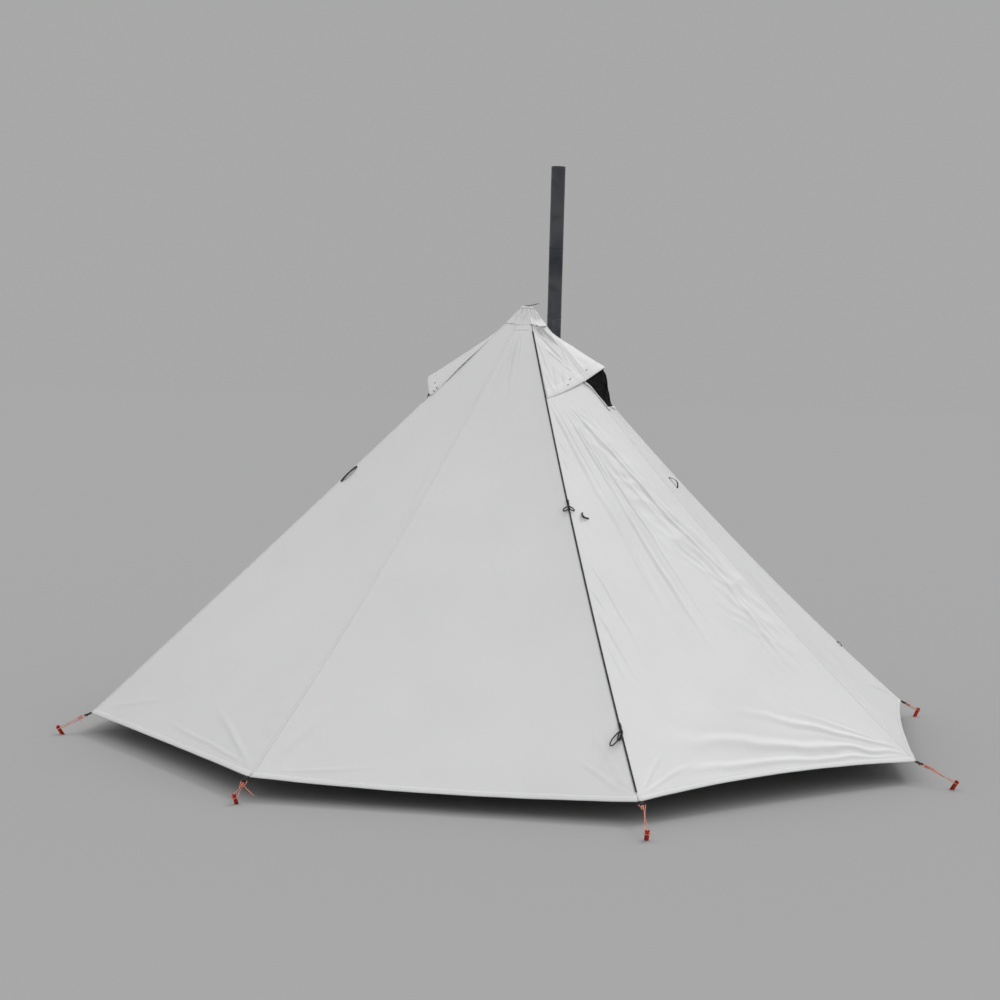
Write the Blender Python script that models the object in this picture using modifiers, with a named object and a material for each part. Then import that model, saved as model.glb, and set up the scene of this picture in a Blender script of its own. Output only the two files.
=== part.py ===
"""Eight-sided tipi tent on one centre pole, with a stove whose flue leaves through the back panel.

Metres, +Z up. The origin is on the ground under the pole's foot. The zipped door panel faces -Y,
the flue's panel faces +Y, and the two hooded vents face +X and -X.
"""
import math

import bmesh
import bpy
from mathutils import Matrix, Vector

# Clearance between pieces that touch, how far a cutter runs past its piece, and how near two points merge
GAP = 0.0003
OVERRUN = 0.02
MERGE = 0.00001
SAME_SHARE = 0.0001

# Canopy: an eight-sided pyramid of sewn panels whose ridges are cut to hang in a shallow curve
PANEL_COUNT = 8
CANOPY_RADIUS = 2.0
CANOPY_TOP = 1.994
PEAK_RADIUS = 0.03
HEM_CORNER_HEIGHT = 0.09
RIDGE_SAG = 0.055
FABRIC = 0.0015
FIRST_RIDGE_DEG = -67.5
PANEL_NAMES = (
    "panel_front_right",
    "panel_right",
    "panel_back_right",
    "panel_back",
    "panel_back_left",
    "panel_left",
    "panel_front_left",
    "panel_door",
)
VENT_PANELS = (1, 5)
JACK_PANEL = 3
DOOR_PANEL = 7
ZIP_RIDGE = 0
HEM_RISE_SHARES = (0.015, 0.013, 0.013, 0.013, 0.013, 0.013, 0.002, -0.007)
FOLD_DEPTH = 0.007
FOLD_DEPTH_SHARES = (1.0, 0.7, 0.5, 0.0, 0.5, 0.6, 0.35, 0.35)
FOLDS_ACROSS = 2.5
FOLD_SKEW = 1.3
FOLD_START_SHARE = 0.3
HEM_CURVE_SHARE = 0.75
PANEL_ROWS = 12
PANEL_COLUMNS = 8

# Peak cap of doubled fabric, and the cord loop knotted through it
CAP_SHARE = 0.045
CAP_FABRIC = 0.002
CAP_LIFT = FABRIC + 2.0 * GAP
DOOR_START_SHARE = 0.05
HINGE_ROOM = 0.0012
LOOP_CORD = 0.004
LOOP_REACH = 0.055
LOOP_RISE = 0.012

# Vent hoods, and the netting under each brim
HOOD_SHARE = 0.162
HOOD_START_SHARE = 0.05
HOOD_OVERLAP = 0.2
HOOD_DROP_SHARE = 0.028
HOOD_LIFT = 0.1
HOOD_RIDGE_LIFT = 0.007
HOOD_RIDGE_SHARE = 2.0 / 3.0
HOOD_SIDE_LIFT = FABRIC + 2.0 * GAP
HOOD_ROWS = 6
HOOD_COLUMNS = 12
HOOD_BOW_SHARE = 0.1
VENT_TOP_SHARE = 0.09
VENT_BOTTOM_SHARE = 0.208
VENT_ROW = 2
VENT_SIDE_COLUMNS = 1
SILL_SHARE = 0.222
NET = 0.001
NET_BACK_SHARE = 0.004
NET_FIRST_COLUMN = 1

# Zip along the right-hand edge of the door
ZIP_START_SHARE = 0.052
ZIP_END_SHARE = 0.985
TAPE_WIDTH = 0.006
TAPE = 0.0018
SLIDER_LENGTH = 0.024
SLIDER_WIDTH = 0.013
SLIDER_THICKNESS = 0.005
PULL_LENGTH = 0.034
PULL_WIDTH = 0.007
UPPER_SLIDER_SHARE = 0.43
UPPER_TRAVEL_SHARE = 0.075
LOWER_SLIDER_SHARE = 0.868
LOWER_TRAVEL_SHARE = 0.972

# Corner webbing, guylines and pegs
TAB_LENGTH = 0.034
TAB_WIDTH = 0.018
TAB_EYE_RADIUS = 0.003
TAB_WEB = 0.002
CORD = 0.003
CORD_STEP = 0.0078
CORD_SPREAD = 0.0045
KNOT_REACH = 0.028
TAIL_LENGTH = 0.075
TAIL_LENGTH_SHARES = (0.0, 1.0, 0.0, 0.4, 0.4, 0.4, 0.4, 0.93)
CORD_BEND = 2.0 * CORD
PEG_ROOM = 0.0006
PEG_REACH_SHARES = (0.118, 0.088, 0.048, 0.06, 0.06, 0.065, 0.064, 0.048)
PEG_SWING_DEG = (-1.0, -1.1, 0.8, 0.0, 0.0, 0.0, 1.2, 0.4)
PEG_LENGTH = 0.18
PEG_SHOWN = 0.05
PEG_LEAN_DEG = 32.0
PEG_VANE = 0.0095
PEG_WEB = 0.0024
PEG_POINT_LENGTH = 0.022
PEG_POINT_SHARE = 0.2
PEG_NOTCH_DEPTH = 0.013
PEG_NOTCH_RADIUS = 0.0028

# Telescoping centre pole
POLE_TOP = 2.004
POLE_SEGMENTS = 24
LOWER_TUBE_RADIUS = 0.015
TUBE_WALL = 0.0015
UPPER_TUBE_RADIUS = LOWER_TUBE_RADIUS - TUBE_WALL - GAP
LOWER_TUBE_TOP = 1.12
UPPER_TUBE_BOTTOM = 0.93
FOOT_RADIUS = 0.024
FOOT_HEIGHT = 0.034
FOOT_FLOOR = 0.008
TIP_RADIUS = 0.0158
TIP_HEIGHT = 0.03
TIP_PLUG = 0.03
CLAMP_HEIGHT = 0.036
CLAMP_RADIUS = 0.0205
CLAMP_SEAT = 0.012
EAR_REACH = 0.016
EAR_THICKNESS = 0.004
EAR_SPREAD = 0.012
LEVER_PIN_RADIUS = 0.002
LEVER_LENGTH = 0.04
LEVER_THICKNESS = 0.0045
LEVER_HEAD_RADIUS = 0.0062

# Stove and flue
FLUE_RADIUS = 0.036
FLUE_WALL = 0.001
FLUE_DISTANCE = 0.78
FLUE_ANGLE_DEG = 88.3
FLUE_TOP_LENGTH = 0.42
FLUE_PITCH = 0.35
FLUE_SECTIONS = 6
FLUE_NECK = 0.05
FLUE_BEAD = 0.0012
FLUE_SEGMENTS = 24
STOVE_LENGTH = 0.42
STOVE_WIDTH = 0.24
STOVE_HEIGHT = 0.25
STOVE_WALL = 0.002
STOVE_BEVEL = 0.003
STOVE_TOP = 0.5
LEG_WIDTH = 0.014
LEG_INSET = 0.012
COLLAR_WALL = 0.002
COLLAR_BACK = 0.085
COLLAR_HEIGHT = 0.08
MOUTH_WIDTH = 0.15
MOUTH_HEIGHT = 0.14
DOOR_LAP = 0.014
DOOR_PLATE = 0.004
DOOR_PIN_RADIUS = 0.003
DOOR_KNUCKLE_RADIUS = 0.0065
DOOR_KNUCKLE_SHARE = 0.6
LUG_HEIGHT = 0.014
KNOB_RADIUS = 0.011
KNOB_LENGTH = 0.03
KNOB_STEM_RADIUS = 0.004

# Flue opening in the back panel
JACK_WIDTH = 0.3
JACK_LENGTH = 0.36
JACK_FABRIC = 0.003
PANEL_HOLE_MARGIN = 0.045
FLAP_ROLL_RADIUS = 0.02
FLAP_ROLL_TURNS = 2.4
FLAP_FABRIC = 0.0022
FLAP_LEFT_SHARE = 0.1

COLLECTION = "tipi_tent"
parts = None
cutters = None


def clear_scene():
    for item in list(bpy.data.objects):
        bpy.data.objects.remove(item, do_unlink=True)


def new_collection(name):
    group = bpy.data.collections.new(name)
    bpy.context.scene.collection.children.link(group)
    return group


def material(name, colour, roughness, metallic=0.0):
    made = bpy.data.materials.get(name)
    if made is None:
        made = bpy.data.materials.new(name)
        made.use_nodes = True
        shader = made.node_tree.nodes["Principled BSDF"]
        shader.inputs["Base Color"].default_value = (*colour, 1.0)
        shader.inputs["Roughness"].default_value = roughness
        shader.inputs["Metallic"].default_value = metallic
    return made


def canopy_cloth():
    return material("canopy_cloth", (0.6, 0.6, 0.6), 0.55)


def black_webbing():
    return material("black_webbing", (0.02, 0.02, 0.02), 0.85)


def add_part(name, mesh, finish, place=None):
    item = bpy.data.objects.new(name, mesh)
    if not mesh.materials:
        mesh.materials.append(finish)
    if place is not None:
        item.matrix_world = place
    parts.objects.link(item)
    return item


def mesh_from(name, build):
    """A new mesh filled by build(bm)."""
    bm = bmesh.new()
    build(bm)
    bmesh.ops.recalc_face_normals(bm, faces=bm.faces)
    mesh = bpy.data.meshes.new(name)
    bm.to_mesh(mesh)
    bm.free()
    return mesh


def add_box(bm, size, centre, turn=None):
    """One box of the given size about centre."""
    place = Matrix.Translation(centre)
    if turn is not None:
        place = place @ turn
    return bmesh.ops.create_cube(bm, size=1.0, matrix=place @ Matrix.Diagonal((*size, 1.0)))


def add_cylinder(bm, radius, low, high, segments=24):
    """One cylinder between two points."""
    low = Vector(low)
    high = Vector(high)
    along = high - low
    turn = along.to_track_quat("Z", "Y").to_matrix().to_4x4()
    bmesh.ops.create_cone(
        bm,
        cap_ends=True,
        segments=segments,
        radius1=radius,
        radius2=radius,
        depth=along.length,
        matrix=Matrix.Translation((low + high) / 2) @ turn,
    )


def add_prism(bm, outline, low, high):
    """One closed prism from a flat outline in XY between two heights."""
    rings = [[bm.verts.new((x, y, height)) for x, y in outline] for height in (low, high)]
    count = len(outline)
    for n in range(count):
        after = (n + 1) % count
        bm.faces.new((rings[0][n], rings[0][after], rings[1][after], rings[1][n]))
    bm.faces.new(list(reversed(rings[0])))
    bm.faces.new(rings[1])


def combine(item, build, name, operation, overlapping=False):
    """Join or cut an object with one or more closed shapes."""
    tool = bpy.data.objects.new(name, mesh_from(name, build))
    cutters.objects.link(tool)
    tool.matrix_world = item.matrix_world
    tool.hide_render = True
    tool.display_type = "WIRE"
    change = item.modifiers.new(name, "BOOLEAN")
    change.operation = operation
    change.object = tool
    change.solver = "EXACT"
    change.use_self = overlapping


def settle(item):
    """Replace an object's mesh by the mesh that its modifiers make."""
    bpy.context.view_layer.update()
    graph = bpy.context.evaluated_depsgraph_get()
    mesh = bpy.data.meshes.new_from_object(item.evaluated_get(graph))
    mesh.name = item.name
    if item.type == "CURVE":
        bm = bmesh.new()
        bm.from_mesh(mesh)
        bmesh.ops.remove_doubles(bm, verts=bm.verts, dist=MERGE)
        bm.to_mesh(mesh)
        bm.free()
        place = item.matrix_world.copy()
        name = item.name
        finish = item.data.materials[0]
        bpy.data.objects.remove(item, do_unlink=True)
        return add_part(name, mesh, finish, place)
    item.modifiers.clear()
    item.data = mesh
    return item


def turned(name, outline, finish, segments, place=None):
    """A shape turned about Z from (radius, height) points that run down its outer side."""
    mesh = bpy.data.meshes.new(name)
    points = [(radius, 0.0, height) for radius, height in outline]
    edges = [(n, n + 1) for n in range(len(points) - 1)]
    if outline[0][0] > 0.0:
        edges.append((len(points) - 1, 0))
    mesh.from_pydata(points, edges, [])
    item = add_part(name, mesh, finish, place)
    screw = item.modifiers.new("Turn", "SCREW")
    screw.steps = segments
    screw.render_steps = segments
    screw.use_merge_vertices = True
    screw.merge_threshold = MERGE
    screw.use_smooth_shade = False
    return item


def tube(name, radius, wall, low, high, finish, segments, place=None):
    outline = ((radius, high), (radius, low), (radius - wall, low), (radius - wall, high))
    return turned(name, outline, finish, segments, place)


def flat_outline(name, outlines, thickness, finish, place=None):
    """A plate from flat closed outlines in XY, the first outside and the rest holes."""
    curve = bpy.data.curves.new(name, "CURVE")
    curve.dimensions = "2D"
    curve.fill_mode = "BOTH"
    curve.extrude = thickness / 2
    for outline in outlines:
        spline = curve.splines.new("POLY")
        spline.points.add(len(outline) - 1)
        for point, (x, y) in zip(spline.points, outline):
            point.co = (x, y, 0.0, 1.0)
        spline.use_cyclic_u = True
    curve.materials.append(finish)
    item = bpy.data.objects.new(name, curve)
    if place is not None:
        item.matrix_world = place
    parts.objects.link(item)
    return settle(item)


def arc(centre, radius, first_deg, last_deg, steps):
    points = []
    for step in range(steps + 1):
        turn = math.radians(first_deg + (last_deg - first_deg) * step / steps)
        points.append((centre[0] + radius * math.cos(turn), centre[1] + radius * math.sin(turn)))
    return points


def sheet(name, rows, thickness, finish, skip=(), origin=None):
    """A cloth piece: a grid of points thickened outward, without the grid cells in skip."""
    columns = len(rows[0])
    start = Vector() if origin is None else origin
    points = [point - start for row in rows for point in row]
    faces = []
    for row in range(len(rows) - 1):
        for column in range(columns - 1):
            if (row, column) in skip:
                continue
            corner = row * columns + column
            faces.append((corner, corner + columns, corner + columns + 1, corner + 1))
    mesh = bpy.data.meshes.new(name)
    mesh.from_pydata(points, [], faces)
    item = add_part(name, mesh, finish, Matrix.Translation(start))
    shell = item.modifiers.new("Cloth", "SOLIDIFY")
    shell.thickness = thickness
    shell.offset = 1.0
    return item


# Canopy surface

SLOPE = math.hypot(CANOPY_RADIUS - PEAK_RADIUS, CANOPY_TOP - HEM_CORNER_HEIGHT)
SLOPE_OUT_SHARE = (CANOPY_RADIUS - PEAK_RADIUS) / SLOPE
SLOPE_DOWN_SHARE = (CANOPY_TOP - HEM_CORNER_HEIGHT) / SLOPE


def ridge_angle(ridge):
    return math.radians(FIRST_RIDGE_DEG + ridge * 360.0 / PANEL_COUNT)


def ridge_point(ridge, share):
    """A point on a ridge seam, from 0 at the peak to 1 at the hem corner."""
    sag = 4.0 * RIDGE_SAG * share * (1.0 - share)
    radius = PEAK_RADIUS + (CANOPY_RADIUS - PEAK_RADIUS) * share - sag * SLOPE_DOWN_SHARE
    height = CANOPY_TOP - (CANOPY_TOP - HEM_CORNER_HEIGHT) * share - sag * SLOPE_OUT_SHARE
    turn = ridge_angle(ridge)
    return Vector((radius * math.cos(turn), radius * math.sin(turn), height))


def panel_shares():
    """The heights of a panel's rows of points, from the peak to the hem."""
    below = 1.0 - VENT_BOTTOM_SHARE
    rest = [VENT_BOTTOM_SHARE + below * row / PANEL_ROWS for row in range(1, PANEL_ROWS + 1)]
    return [0.0, DOOR_START_SHARE, VENT_TOP_SHARE, VENT_BOTTOM_SHARE] + rest


def seam_point(ridge, share):
    """A point on the straight stretches between the rows of a ridge seam."""
    shares = panel_shares()
    row = 1
    while row < len(shares) - 1 and shares[row] < share:
        row += 1
    part = (share - shares[row - 1]) / (shares[row] - shares[row - 1])
    return ridge_point(ridge, shares[row - 1]).lerp(ridge_point(ridge, shares[row]), part)


def seam_width(panel, share):
    return (seam_point(panel + 1, share) - seam_point(panel, share)).length


def panel_normal(panel, share):
    """The outward direction square to a panel at one height."""
    left = seam_point(panel, share)
    right = seam_point(panel + 1, share)
    lower = seam_point(panel, share + SAME_SHARE)
    return (lower - left).cross(right - left).normalized()


def fold_height(panel, across, share):
    """Shallow folds that run down a panel and fade out at its seams, vents and hem."""
    if share <= FOLD_START_SHARE:
        return 0.0
    depth = FOLD_DEPTH * FOLD_DEPTH_SHARES[panel]
    below = (share - FOLD_START_SHARE) / (1.0 - FOLD_START_SHARE)
    wave = math.sin(2.0 * math.pi * (FOLDS_ACROSS * across + FOLD_SKEW * share))
    return depth * wave * math.sin(math.pi * across) ** 2 * math.sin(math.pi * below)


def panel_point(panel, across, share, lift=0.0, inset=0.0, hinge_room=0.0):
    """A point on a panel: across from its first ridge to its second, share from peak to hem."""
    near_hem = max(0.0, (share - HEM_CURVE_SHARE) / (1.0 - HEM_CURVE_SHARE))
    reach = share - HEM_RISE_SHARES[panel] * 4.0 * across * (1.0 - across) * near_hem
    first = seam_point(panel, reach)
    second = seam_point(panel + 1, reach)
    width = (second - first).length
    along = (inset + hinge_room) / width + across * (1.0 - (2.0 * inset + hinge_room) / width)
    lift += fold_height(panel, across, share)
    return first.lerp(second, along) + panel_normal(panel, reach) * lift


def panel_rows(panel, shares, hinge_room):
    """Rows of points from peak to hem."""
    across = [column / PANEL_COLUMNS for column in range(PANEL_COLUMNS + 1)]
    return [[panel_point(panel, a, share, 0.0, GAP / 2, hinge_room) for a in across] for share in shares]


def make_panels():
    """The sewn gores. The door's starts under the cap and turns on its left-hand ridge."""
    for panel, name in enumerate(PANEL_NAMES):
        shares = panel_shares()
        skip = set()
        origin = None
        hinge_room = 0.0
        if panel == DOOR_PANEL:
            hinge_room = HINGE_ROOM
            shares = shares[1:]
            origin = ridge_point(DOOR_PANEL, 1.0)
        if panel in VENT_PANELS:
            for column in range(VENT_SIDE_COLUMNS, PANEL_COLUMNS - VENT_SIDE_COLUMNS):
                skip.add((VENT_ROW, column))
        rows = panel_rows(panel, shares, hinge_room)
        item = sheet(name, rows, FABRIC, canopy_cloth(), skip, origin)
        if panel == JACK_PANEL:
            cut_flue_hole(item, FLUE_RADIUS + PANEL_HOLE_MARGIN)


def flue_centre():
    turn = math.radians(FLUE_ANGLE_DEG)
    return Vector((FLUE_DISTANCE * math.cos(turn), FLUE_DISTANCE * math.sin(turn), 0.0))


def cut_flue_hole(item, radius):
    foot = flue_centre()
    top = foot + Vector((0.0, 0.0, CANOPY_TOP))

    def hole(bm):
        add_cylinder(bm, radius, foot, top, FLUE_SEGMENTS)

    combine(item, hole, item.name + "_flue_hole", "DIFFERENCE")


def make_cap():
    """The peak's doubled cloth: a shallow eight-sided cone over the top of every panel."""
    crown = POLE_TOP + GAP
    flat = []
    for ridge in range(PANEL_COUNT):
        turn = ridge_angle(ridge)
        flat.append(Vector((TIP_RADIUS * math.cos(turn), TIP_RADIUS * math.sin(turn), crown)))
    rings = [flat]
    for share in (0.0, CAP_SHARE):
        ring = []
        for ridge in range(PANEL_COUNT):
            outward = (panel_normal(ridge, share) + panel_normal(ridge - 1, share)).normalized()
            ring.append(seam_point(ridge, share) + outward * (CAP_LIFT * 1.1))
        rings.append(ring)
    points = [Vector((0.0, 0.0, crown))] + [point for ring in rings for point in ring]
    faces = []
    for ridge in range(PANEL_COUNT):
        after = (ridge + 1) % PANEL_COUNT
        faces.append((0, 1 + ridge, 1 + after))
        for ring in range(len(rings) - 1):
            low = 1 + ring * PANEL_COUNT
            high = low + PANEL_COUNT
            faces.append((low + ridge, high + ridge, high + after, low + after))
    mesh = bpy.data.meshes.new("peak_cap")
    mesh.from_pydata(points, [], faces)
    item = add_part("peak_cap", mesh, canopy_cloth())
    shell = item.modifiers.new("Cloth", "SOLIDIFY")
    shell.thickness = CAP_FABRIC
    shell.offset = 1.0
    return crown + CAP_FABRIC


def make_peak_loop(crown):
    """The short cord loop that the tent hangs from or is tied off by, standing on the cap."""
    foot = crown + GAP + LOOP_CORD / 2
    route = (
        (-LOOP_CORD, 0.0, foot),
        (LOOP_REACH * 0.35, LOOP_CORD * 1.1, foot + LOOP_RISE * 0.5),
        (LOOP_REACH * 0.8, LOOP_CORD * 1.4, foot + LOOP_RISE),
        (LOOP_REACH, 0.0, foot + LOOP_RISE * 1.2),
        (LOOP_REACH * 0.8, -LOOP_CORD * 1.4, foot + LOOP_RISE),
        (LOOP_REACH * 0.35, -LOOP_CORD * 1.1, foot + LOOP_RISE * 0.5),
        (LOOP_CORD * 1.5, -LOOP_CORD * 1.3, foot + LOOP_CORD * 0.1),
    )
    points = [Vector(point) for point in route]
    cord_tube("peak_cord_loop", points, LOOP_CORD, LOOP_CORD * 2, black_webbing())


def vent_point(panel, across, share, lift):
    """A point on the canopy across a vent's width, whose ends lap onto the panels beside it."""
    left = across < 0.5
    near = abs(2.0 * across - 1.0)
    if abs(near - HOOD_RIDGE_SHARE) < SAME_SHARE:
        ridge = panel if left else panel + 1
        outward = (panel_normal(ridge - 1, share) + panel_normal(ridge, share)).normalized()
        return seam_point(ridge, share) + outward * (lift * 1.1)
    if near < HOOD_RIDGE_SHARE:
        inside = 0.5 * near / HOOD_RIDGE_SHARE
        return panel_point(panel, 0.5 - inside if left else 0.5 + inside, share, lift)
    grown = min(1.0, (share - HOOD_START_SHARE) / (HOOD_SHARE - HOOD_START_SHARE))
    past_ridge = (near - HOOD_RIDGE_SHARE) / (1.0 - HOOD_RIDGE_SHARE)
    share += HOOD_DROP_SHARE * grown * past_ridge
    beyond = HOOD_OVERLAP * grown * past_ridge / seam_width(panel, share)
    if left:
        return panel_point((panel - 1) % PANEL_COUNT, 1.0 - beyond, share, lift)
    return panel_point((panel + 1) % PANEL_COUNT, beyond, share, lift)


def hood_point(panel, across, share, lift):
    """A hood's cloth: flat at its ends, clear of the ridges and raised over the vent."""
    grown = (share - HOOD_START_SHARE) / (HOOD_SHARE - HOOD_START_SHARE)
    near = abs(2.0 * across - 1.0)
    if near > HOOD_RIDGE_SHARE:
        raised = HOOD_RIDGE_LIFT * (1.0 - near) / (1.0 - HOOD_RIDGE_SHARE)
    else:
        along = near / HOOD_RIDGE_SHARE
        bow = HOOD_BOW_SHARE * HOOD_LIFT * 4.0 * along * (1.0 - along)
        raised = HOOD_LIFT + (HOOD_RIDGE_LIFT - HOOD_LIFT) * along + bow
    return vent_point(panel, across, share, HOOD_SIDE_LIFT + raised * grown + lift)


def sill_point(panel, across):
    """Where the netting meets the canopy: level with the brim at its ends, lowest in the middle."""
    depth = min(1.0, 6.0 * across * (1.0 - across))
    share = HOOD_SHARE + (SILL_SHARE - HOOD_SHARE) * depth
    return vent_point(panel, across, share, HOOD_SIDE_LIFT)


def make_vents():
    net_black = material("vent_netting", (0.015, 0.015, 0.015), 0.9)
    for panel in VENT_PANELS:
        side = "right" if panel == VENT_PANELS[0] else "left"
        rows = []
        for row in range(HOOD_ROWS + 1):
            share = HOOD_START_SHARE + (HOOD_SHARE - HOOD_START_SHARE) * row / HOOD_ROWS
            columns = range(HOOD_COLUMNS + 1)
            rows.append([hood_point(panel, column / HOOD_COLUMNS, share, 0.0) for column in columns])
        sheet("vent_hood_" + side, rows, FABRIC, canopy_cloth())
        top = []
        bottom = []
        for column in range(NET_FIRST_COLUMN, HOOD_COLUMNS - NET_FIRST_COLUMN + 1):
            across = column / HOOD_COLUMNS
            top.append(hood_point(panel, across, HOOD_SHARE - NET_BACK_SHARE, -GAP - NET * 2))
            bottom.append(sill_point(panel, across))
        sheet("vent_net_" + side, [top, bottom], NET, net_black)


def tape_rows(panel, at_start):
    """Both edges of a zip tape that lies on a panel beside one of its ridges."""
    middle = [share for share in panel_shares() if ZIP_START_SHARE < share < ZIP_END_SHARE]
    rows = []
    for share in [ZIP_START_SHARE] + middle + [ZIP_END_SHARE]:
        first = seam_point(panel, share)
        second = seam_point(panel + 1, share)
        width = (second - first).length
        near = 1.5 * GAP / width
        far = near + TAPE_WIDTH / width
        lift = panel_normal(panel, share) * (FABRIC + GAP)
        edges = (near, far) if at_start else (1.0 - far, 1.0 - near)
        rows.append([first.lerp(second, across) + lift for across in edges])
    return rows


def make_zip():
    zip_black = material("zip_tape", (0.02, 0.02, 0.02), 0.6)
    sheet("zip_tape_fixed", tape_rows(ZIP_RIDGE, True), TAPE, zip_black)
    hinge = ridge_point(DOOR_PANEL, 1.0)
    sheet("zip_tape_door", tape_rows(DOOR_PANEL, False), TAPE, zip_black, (), hinge)
    zip_slider("zip_slider_upper", UPPER_SLIDER_SHARE, UPPER_TRAVEL_SHARE)
    zip_slider("zip_slider_lower", LOWER_SLIDER_SHARE, LOWER_TRAVEL_SHARE)


def zip_frame(share, target):
    """Where a slider sits on the zip: X along its straight travel, Z away from the tent."""
    place = seam_point(ZIP_RIDGE, share)
    along = (seam_point(ZIP_RIDGE, target) - place).normalized()
    outward = (panel_normal(ZIP_RIDGE, share) + panel_normal(DOOR_PANEL, share)).normalized()
    side = outward.cross(along).normalized()
    up = along.cross(side)
    turn = Matrix((along, side, up)).transposed().to_4x4()
    seat = FABRIC + TAPE + 3.0 * GAP + SLIDER_THICKNESS / 2
    return Matrix.Translation(place + up * seat) @ turn


def zip_slider(name, share, target):
    """A slider's waisted body with its bail and its long flat pull."""
    metal = material("zip_slider", (0.03, 0.03, 0.03), 0.4, 0.6)
    half = SLIDER_LENGTH / 2
    waist = SLIDER_WIDTH * 0.32
    outline = arc((half * 0.5, 0.0), SLIDER_WIDTH / 2, -75.0, 75.0, 8)
    outline += [(0.0, waist)]
    outline += arc((-half * 0.6, 0.0), SLIDER_WIDTH * 0.4, 105.0, 255.0, 8)
    outline += [(0.0, -waist)]
    place = zip_frame(share, target)
    item = flat_outline(name, [outline], SLIDER_THICKNESS, metal, place)
    direction = -1.0 if target < share else 1.0

    def pull(bm):
        top = SLIDER_THICKNESS / 2
        add_cylinder(bm, PULL_WIDTH * 0.25, (0.0, -PULL_WIDTH / 2, top), (0.0, PULL_WIDTH / 2, top), 12)
        reach = direction * PULL_LENGTH
        size = (PULL_LENGTH, PULL_WIDTH, SLIDER_THICKNESS * 0.3)
        add_box(bm, size, (reach / 2, 0.0, top + PULL_WIDTH * 0.12))

    combine(item, pull, name + "_pull", "UNION", True)
    settle(item)


# Corners, guylines and pegs


def corner_point(corner):
    """Where a corner's webbing starts: on the ridge, or beside it where the door would swing into it."""
    point = ridge_point(corner, 1.0)
    beside = {ZIP_RIDGE: 1, DOOR_PANEL: -1}.get(corner, 0)
    if beside:
        along_hem = ridge_point(corner + beside, 1.0) - point
        outward = point.to_2d().normalized().to_3d()
        square_to_hem = TAB_WIDTH / 2 * math.tan(math.pi / PANEL_COUNT)
        point += along_hem.normalized() * (TAB_WIDTH / 2 + TAB_WEB) + outward * (square_to_hem + 1.6 * FABRIC)
    return point


def peg_entry(corner):
    """Where a peg enters the ground."""
    turn = ridge_angle(corner) + math.radians(PEG_SWING_DEG[corner])
    reach = CANOPY_RADIUS * (1.0 + PEG_REACH_SHARES[corner])
    return Vector((reach * math.cos(turn), reach * math.sin(turn), 0.0))


def peg_place(corner):
    """A peg's place: Z up its length from the ground, leaning away from the tent."""
    entry = peg_entry(corner)
    away = (entry - corner_point(corner)).to_2d().normalized().to_3d()
    lean = math.radians(PEG_LEAN_DEG)
    up = (Vector((0.0, 0.0, 1.0)) * math.cos(lean) + away * math.sin(lean)).normalized()
    side = up.cross(away).normalized()
    front = side.cross(up)
    turn = Matrix((front, side, up)).transposed().to_4x4()
    return Matrix.Translation(entry) @ turn


def peg_outline():
    """The three-vane section of a peg, one vane pointing along +X."""
    points = []
    inner = PEG_WEB / math.sqrt(3.0)
    for vane in range(3):
        turn = math.radians(120.0 * vane)
        axis = Vector((math.cos(turn), math.sin(turn)))
        side = Vector((-axis.y, axis.x)) * (PEG_WEB / 2)
        points.append(tuple(axis * PEG_VANE - side))
        points.append(tuple(axis * PEG_VANE + side))
        valley = turn + math.radians(60.0)
        points.append((inner * math.cos(valley), inner * math.sin(valley)))
    return points


def make_pegs():
    red = material("peg_red", (0.62, 0.07, 0.03), 0.35, 0.7)
    top = PEG_SHOWN
    shoulder = PEG_SHOWN - PEG_LENGTH + PEG_POINT_LENGTH
    tip = PEG_SHOWN - PEG_LENGTH
    outline = peg_outline()

    def body(bm):
        stations = ((top, 1.0), (shoulder, 1.0), (tip, PEG_POINT_SHARE))
        rings = []
        for height, scale in stations:
            rings.append([bm.verts.new((x * scale, y * scale, height)) for x, y in outline])
        count = len(outline)
        for low, high in zip(rings[1:], rings):
            for n in range(count):
                bm.faces.new((low[n], low[(n + 1) % count], high[(n + 1) % count], high[n]))
        bm.faces.new(rings[0])
        bm.faces.new(list(reversed(rings[-1])))

    item = add_part("peg_1", mesh_from("peg", body), red)
    depth = PEG_SHOWN - PEG_NOTCH_DEPTH

    def notches(bm):
        for vane in range(3):
            turn = math.radians(120.0 * vane)
            axis = Vector((math.cos(turn), math.sin(turn), 0.0))
            side = Vector((-axis.y, axis.x, 0.0)) * PEG_WEB
            edge = axis * PEG_VANE + Vector((0.0, 0.0, depth))
            add_cylinder(bm, PEG_NOTCH_RADIUS, edge - side, edge + side, 12)

    combine(item, notches, "peg_notches", "DIFFERENCE")
    settle(item)
    shared = item.data
    item.matrix_world = peg_place(0)
    for corner in range(1, PANEL_COUNT):
        add_part("peg_%d" % (corner + 1), shared, red, peg_place(corner))


def notch_point(corner):
    return peg_place(corner) @ Vector((0.0, 0.0, PEG_SHOWN - PEG_NOTCH_DEPTH))


def corner_place(corner):
    """A corner's webbing: X along the guyline's pull, Z up from it."""
    start = corner_point(corner)
    along = (notch_point(corner) - start).normalized()
    side = Vector((0.0, 0.0, 1.0)).cross(along).normalized()
    up = along.cross(side)
    turn = Matrix((along, side, up)).transposed().to_4x4()
    return Matrix.Translation(start) @ turn


def tab_eye():
    return TAB_LENGTH - TAB_EYE_RADIUS - TAB_WEB


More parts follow.
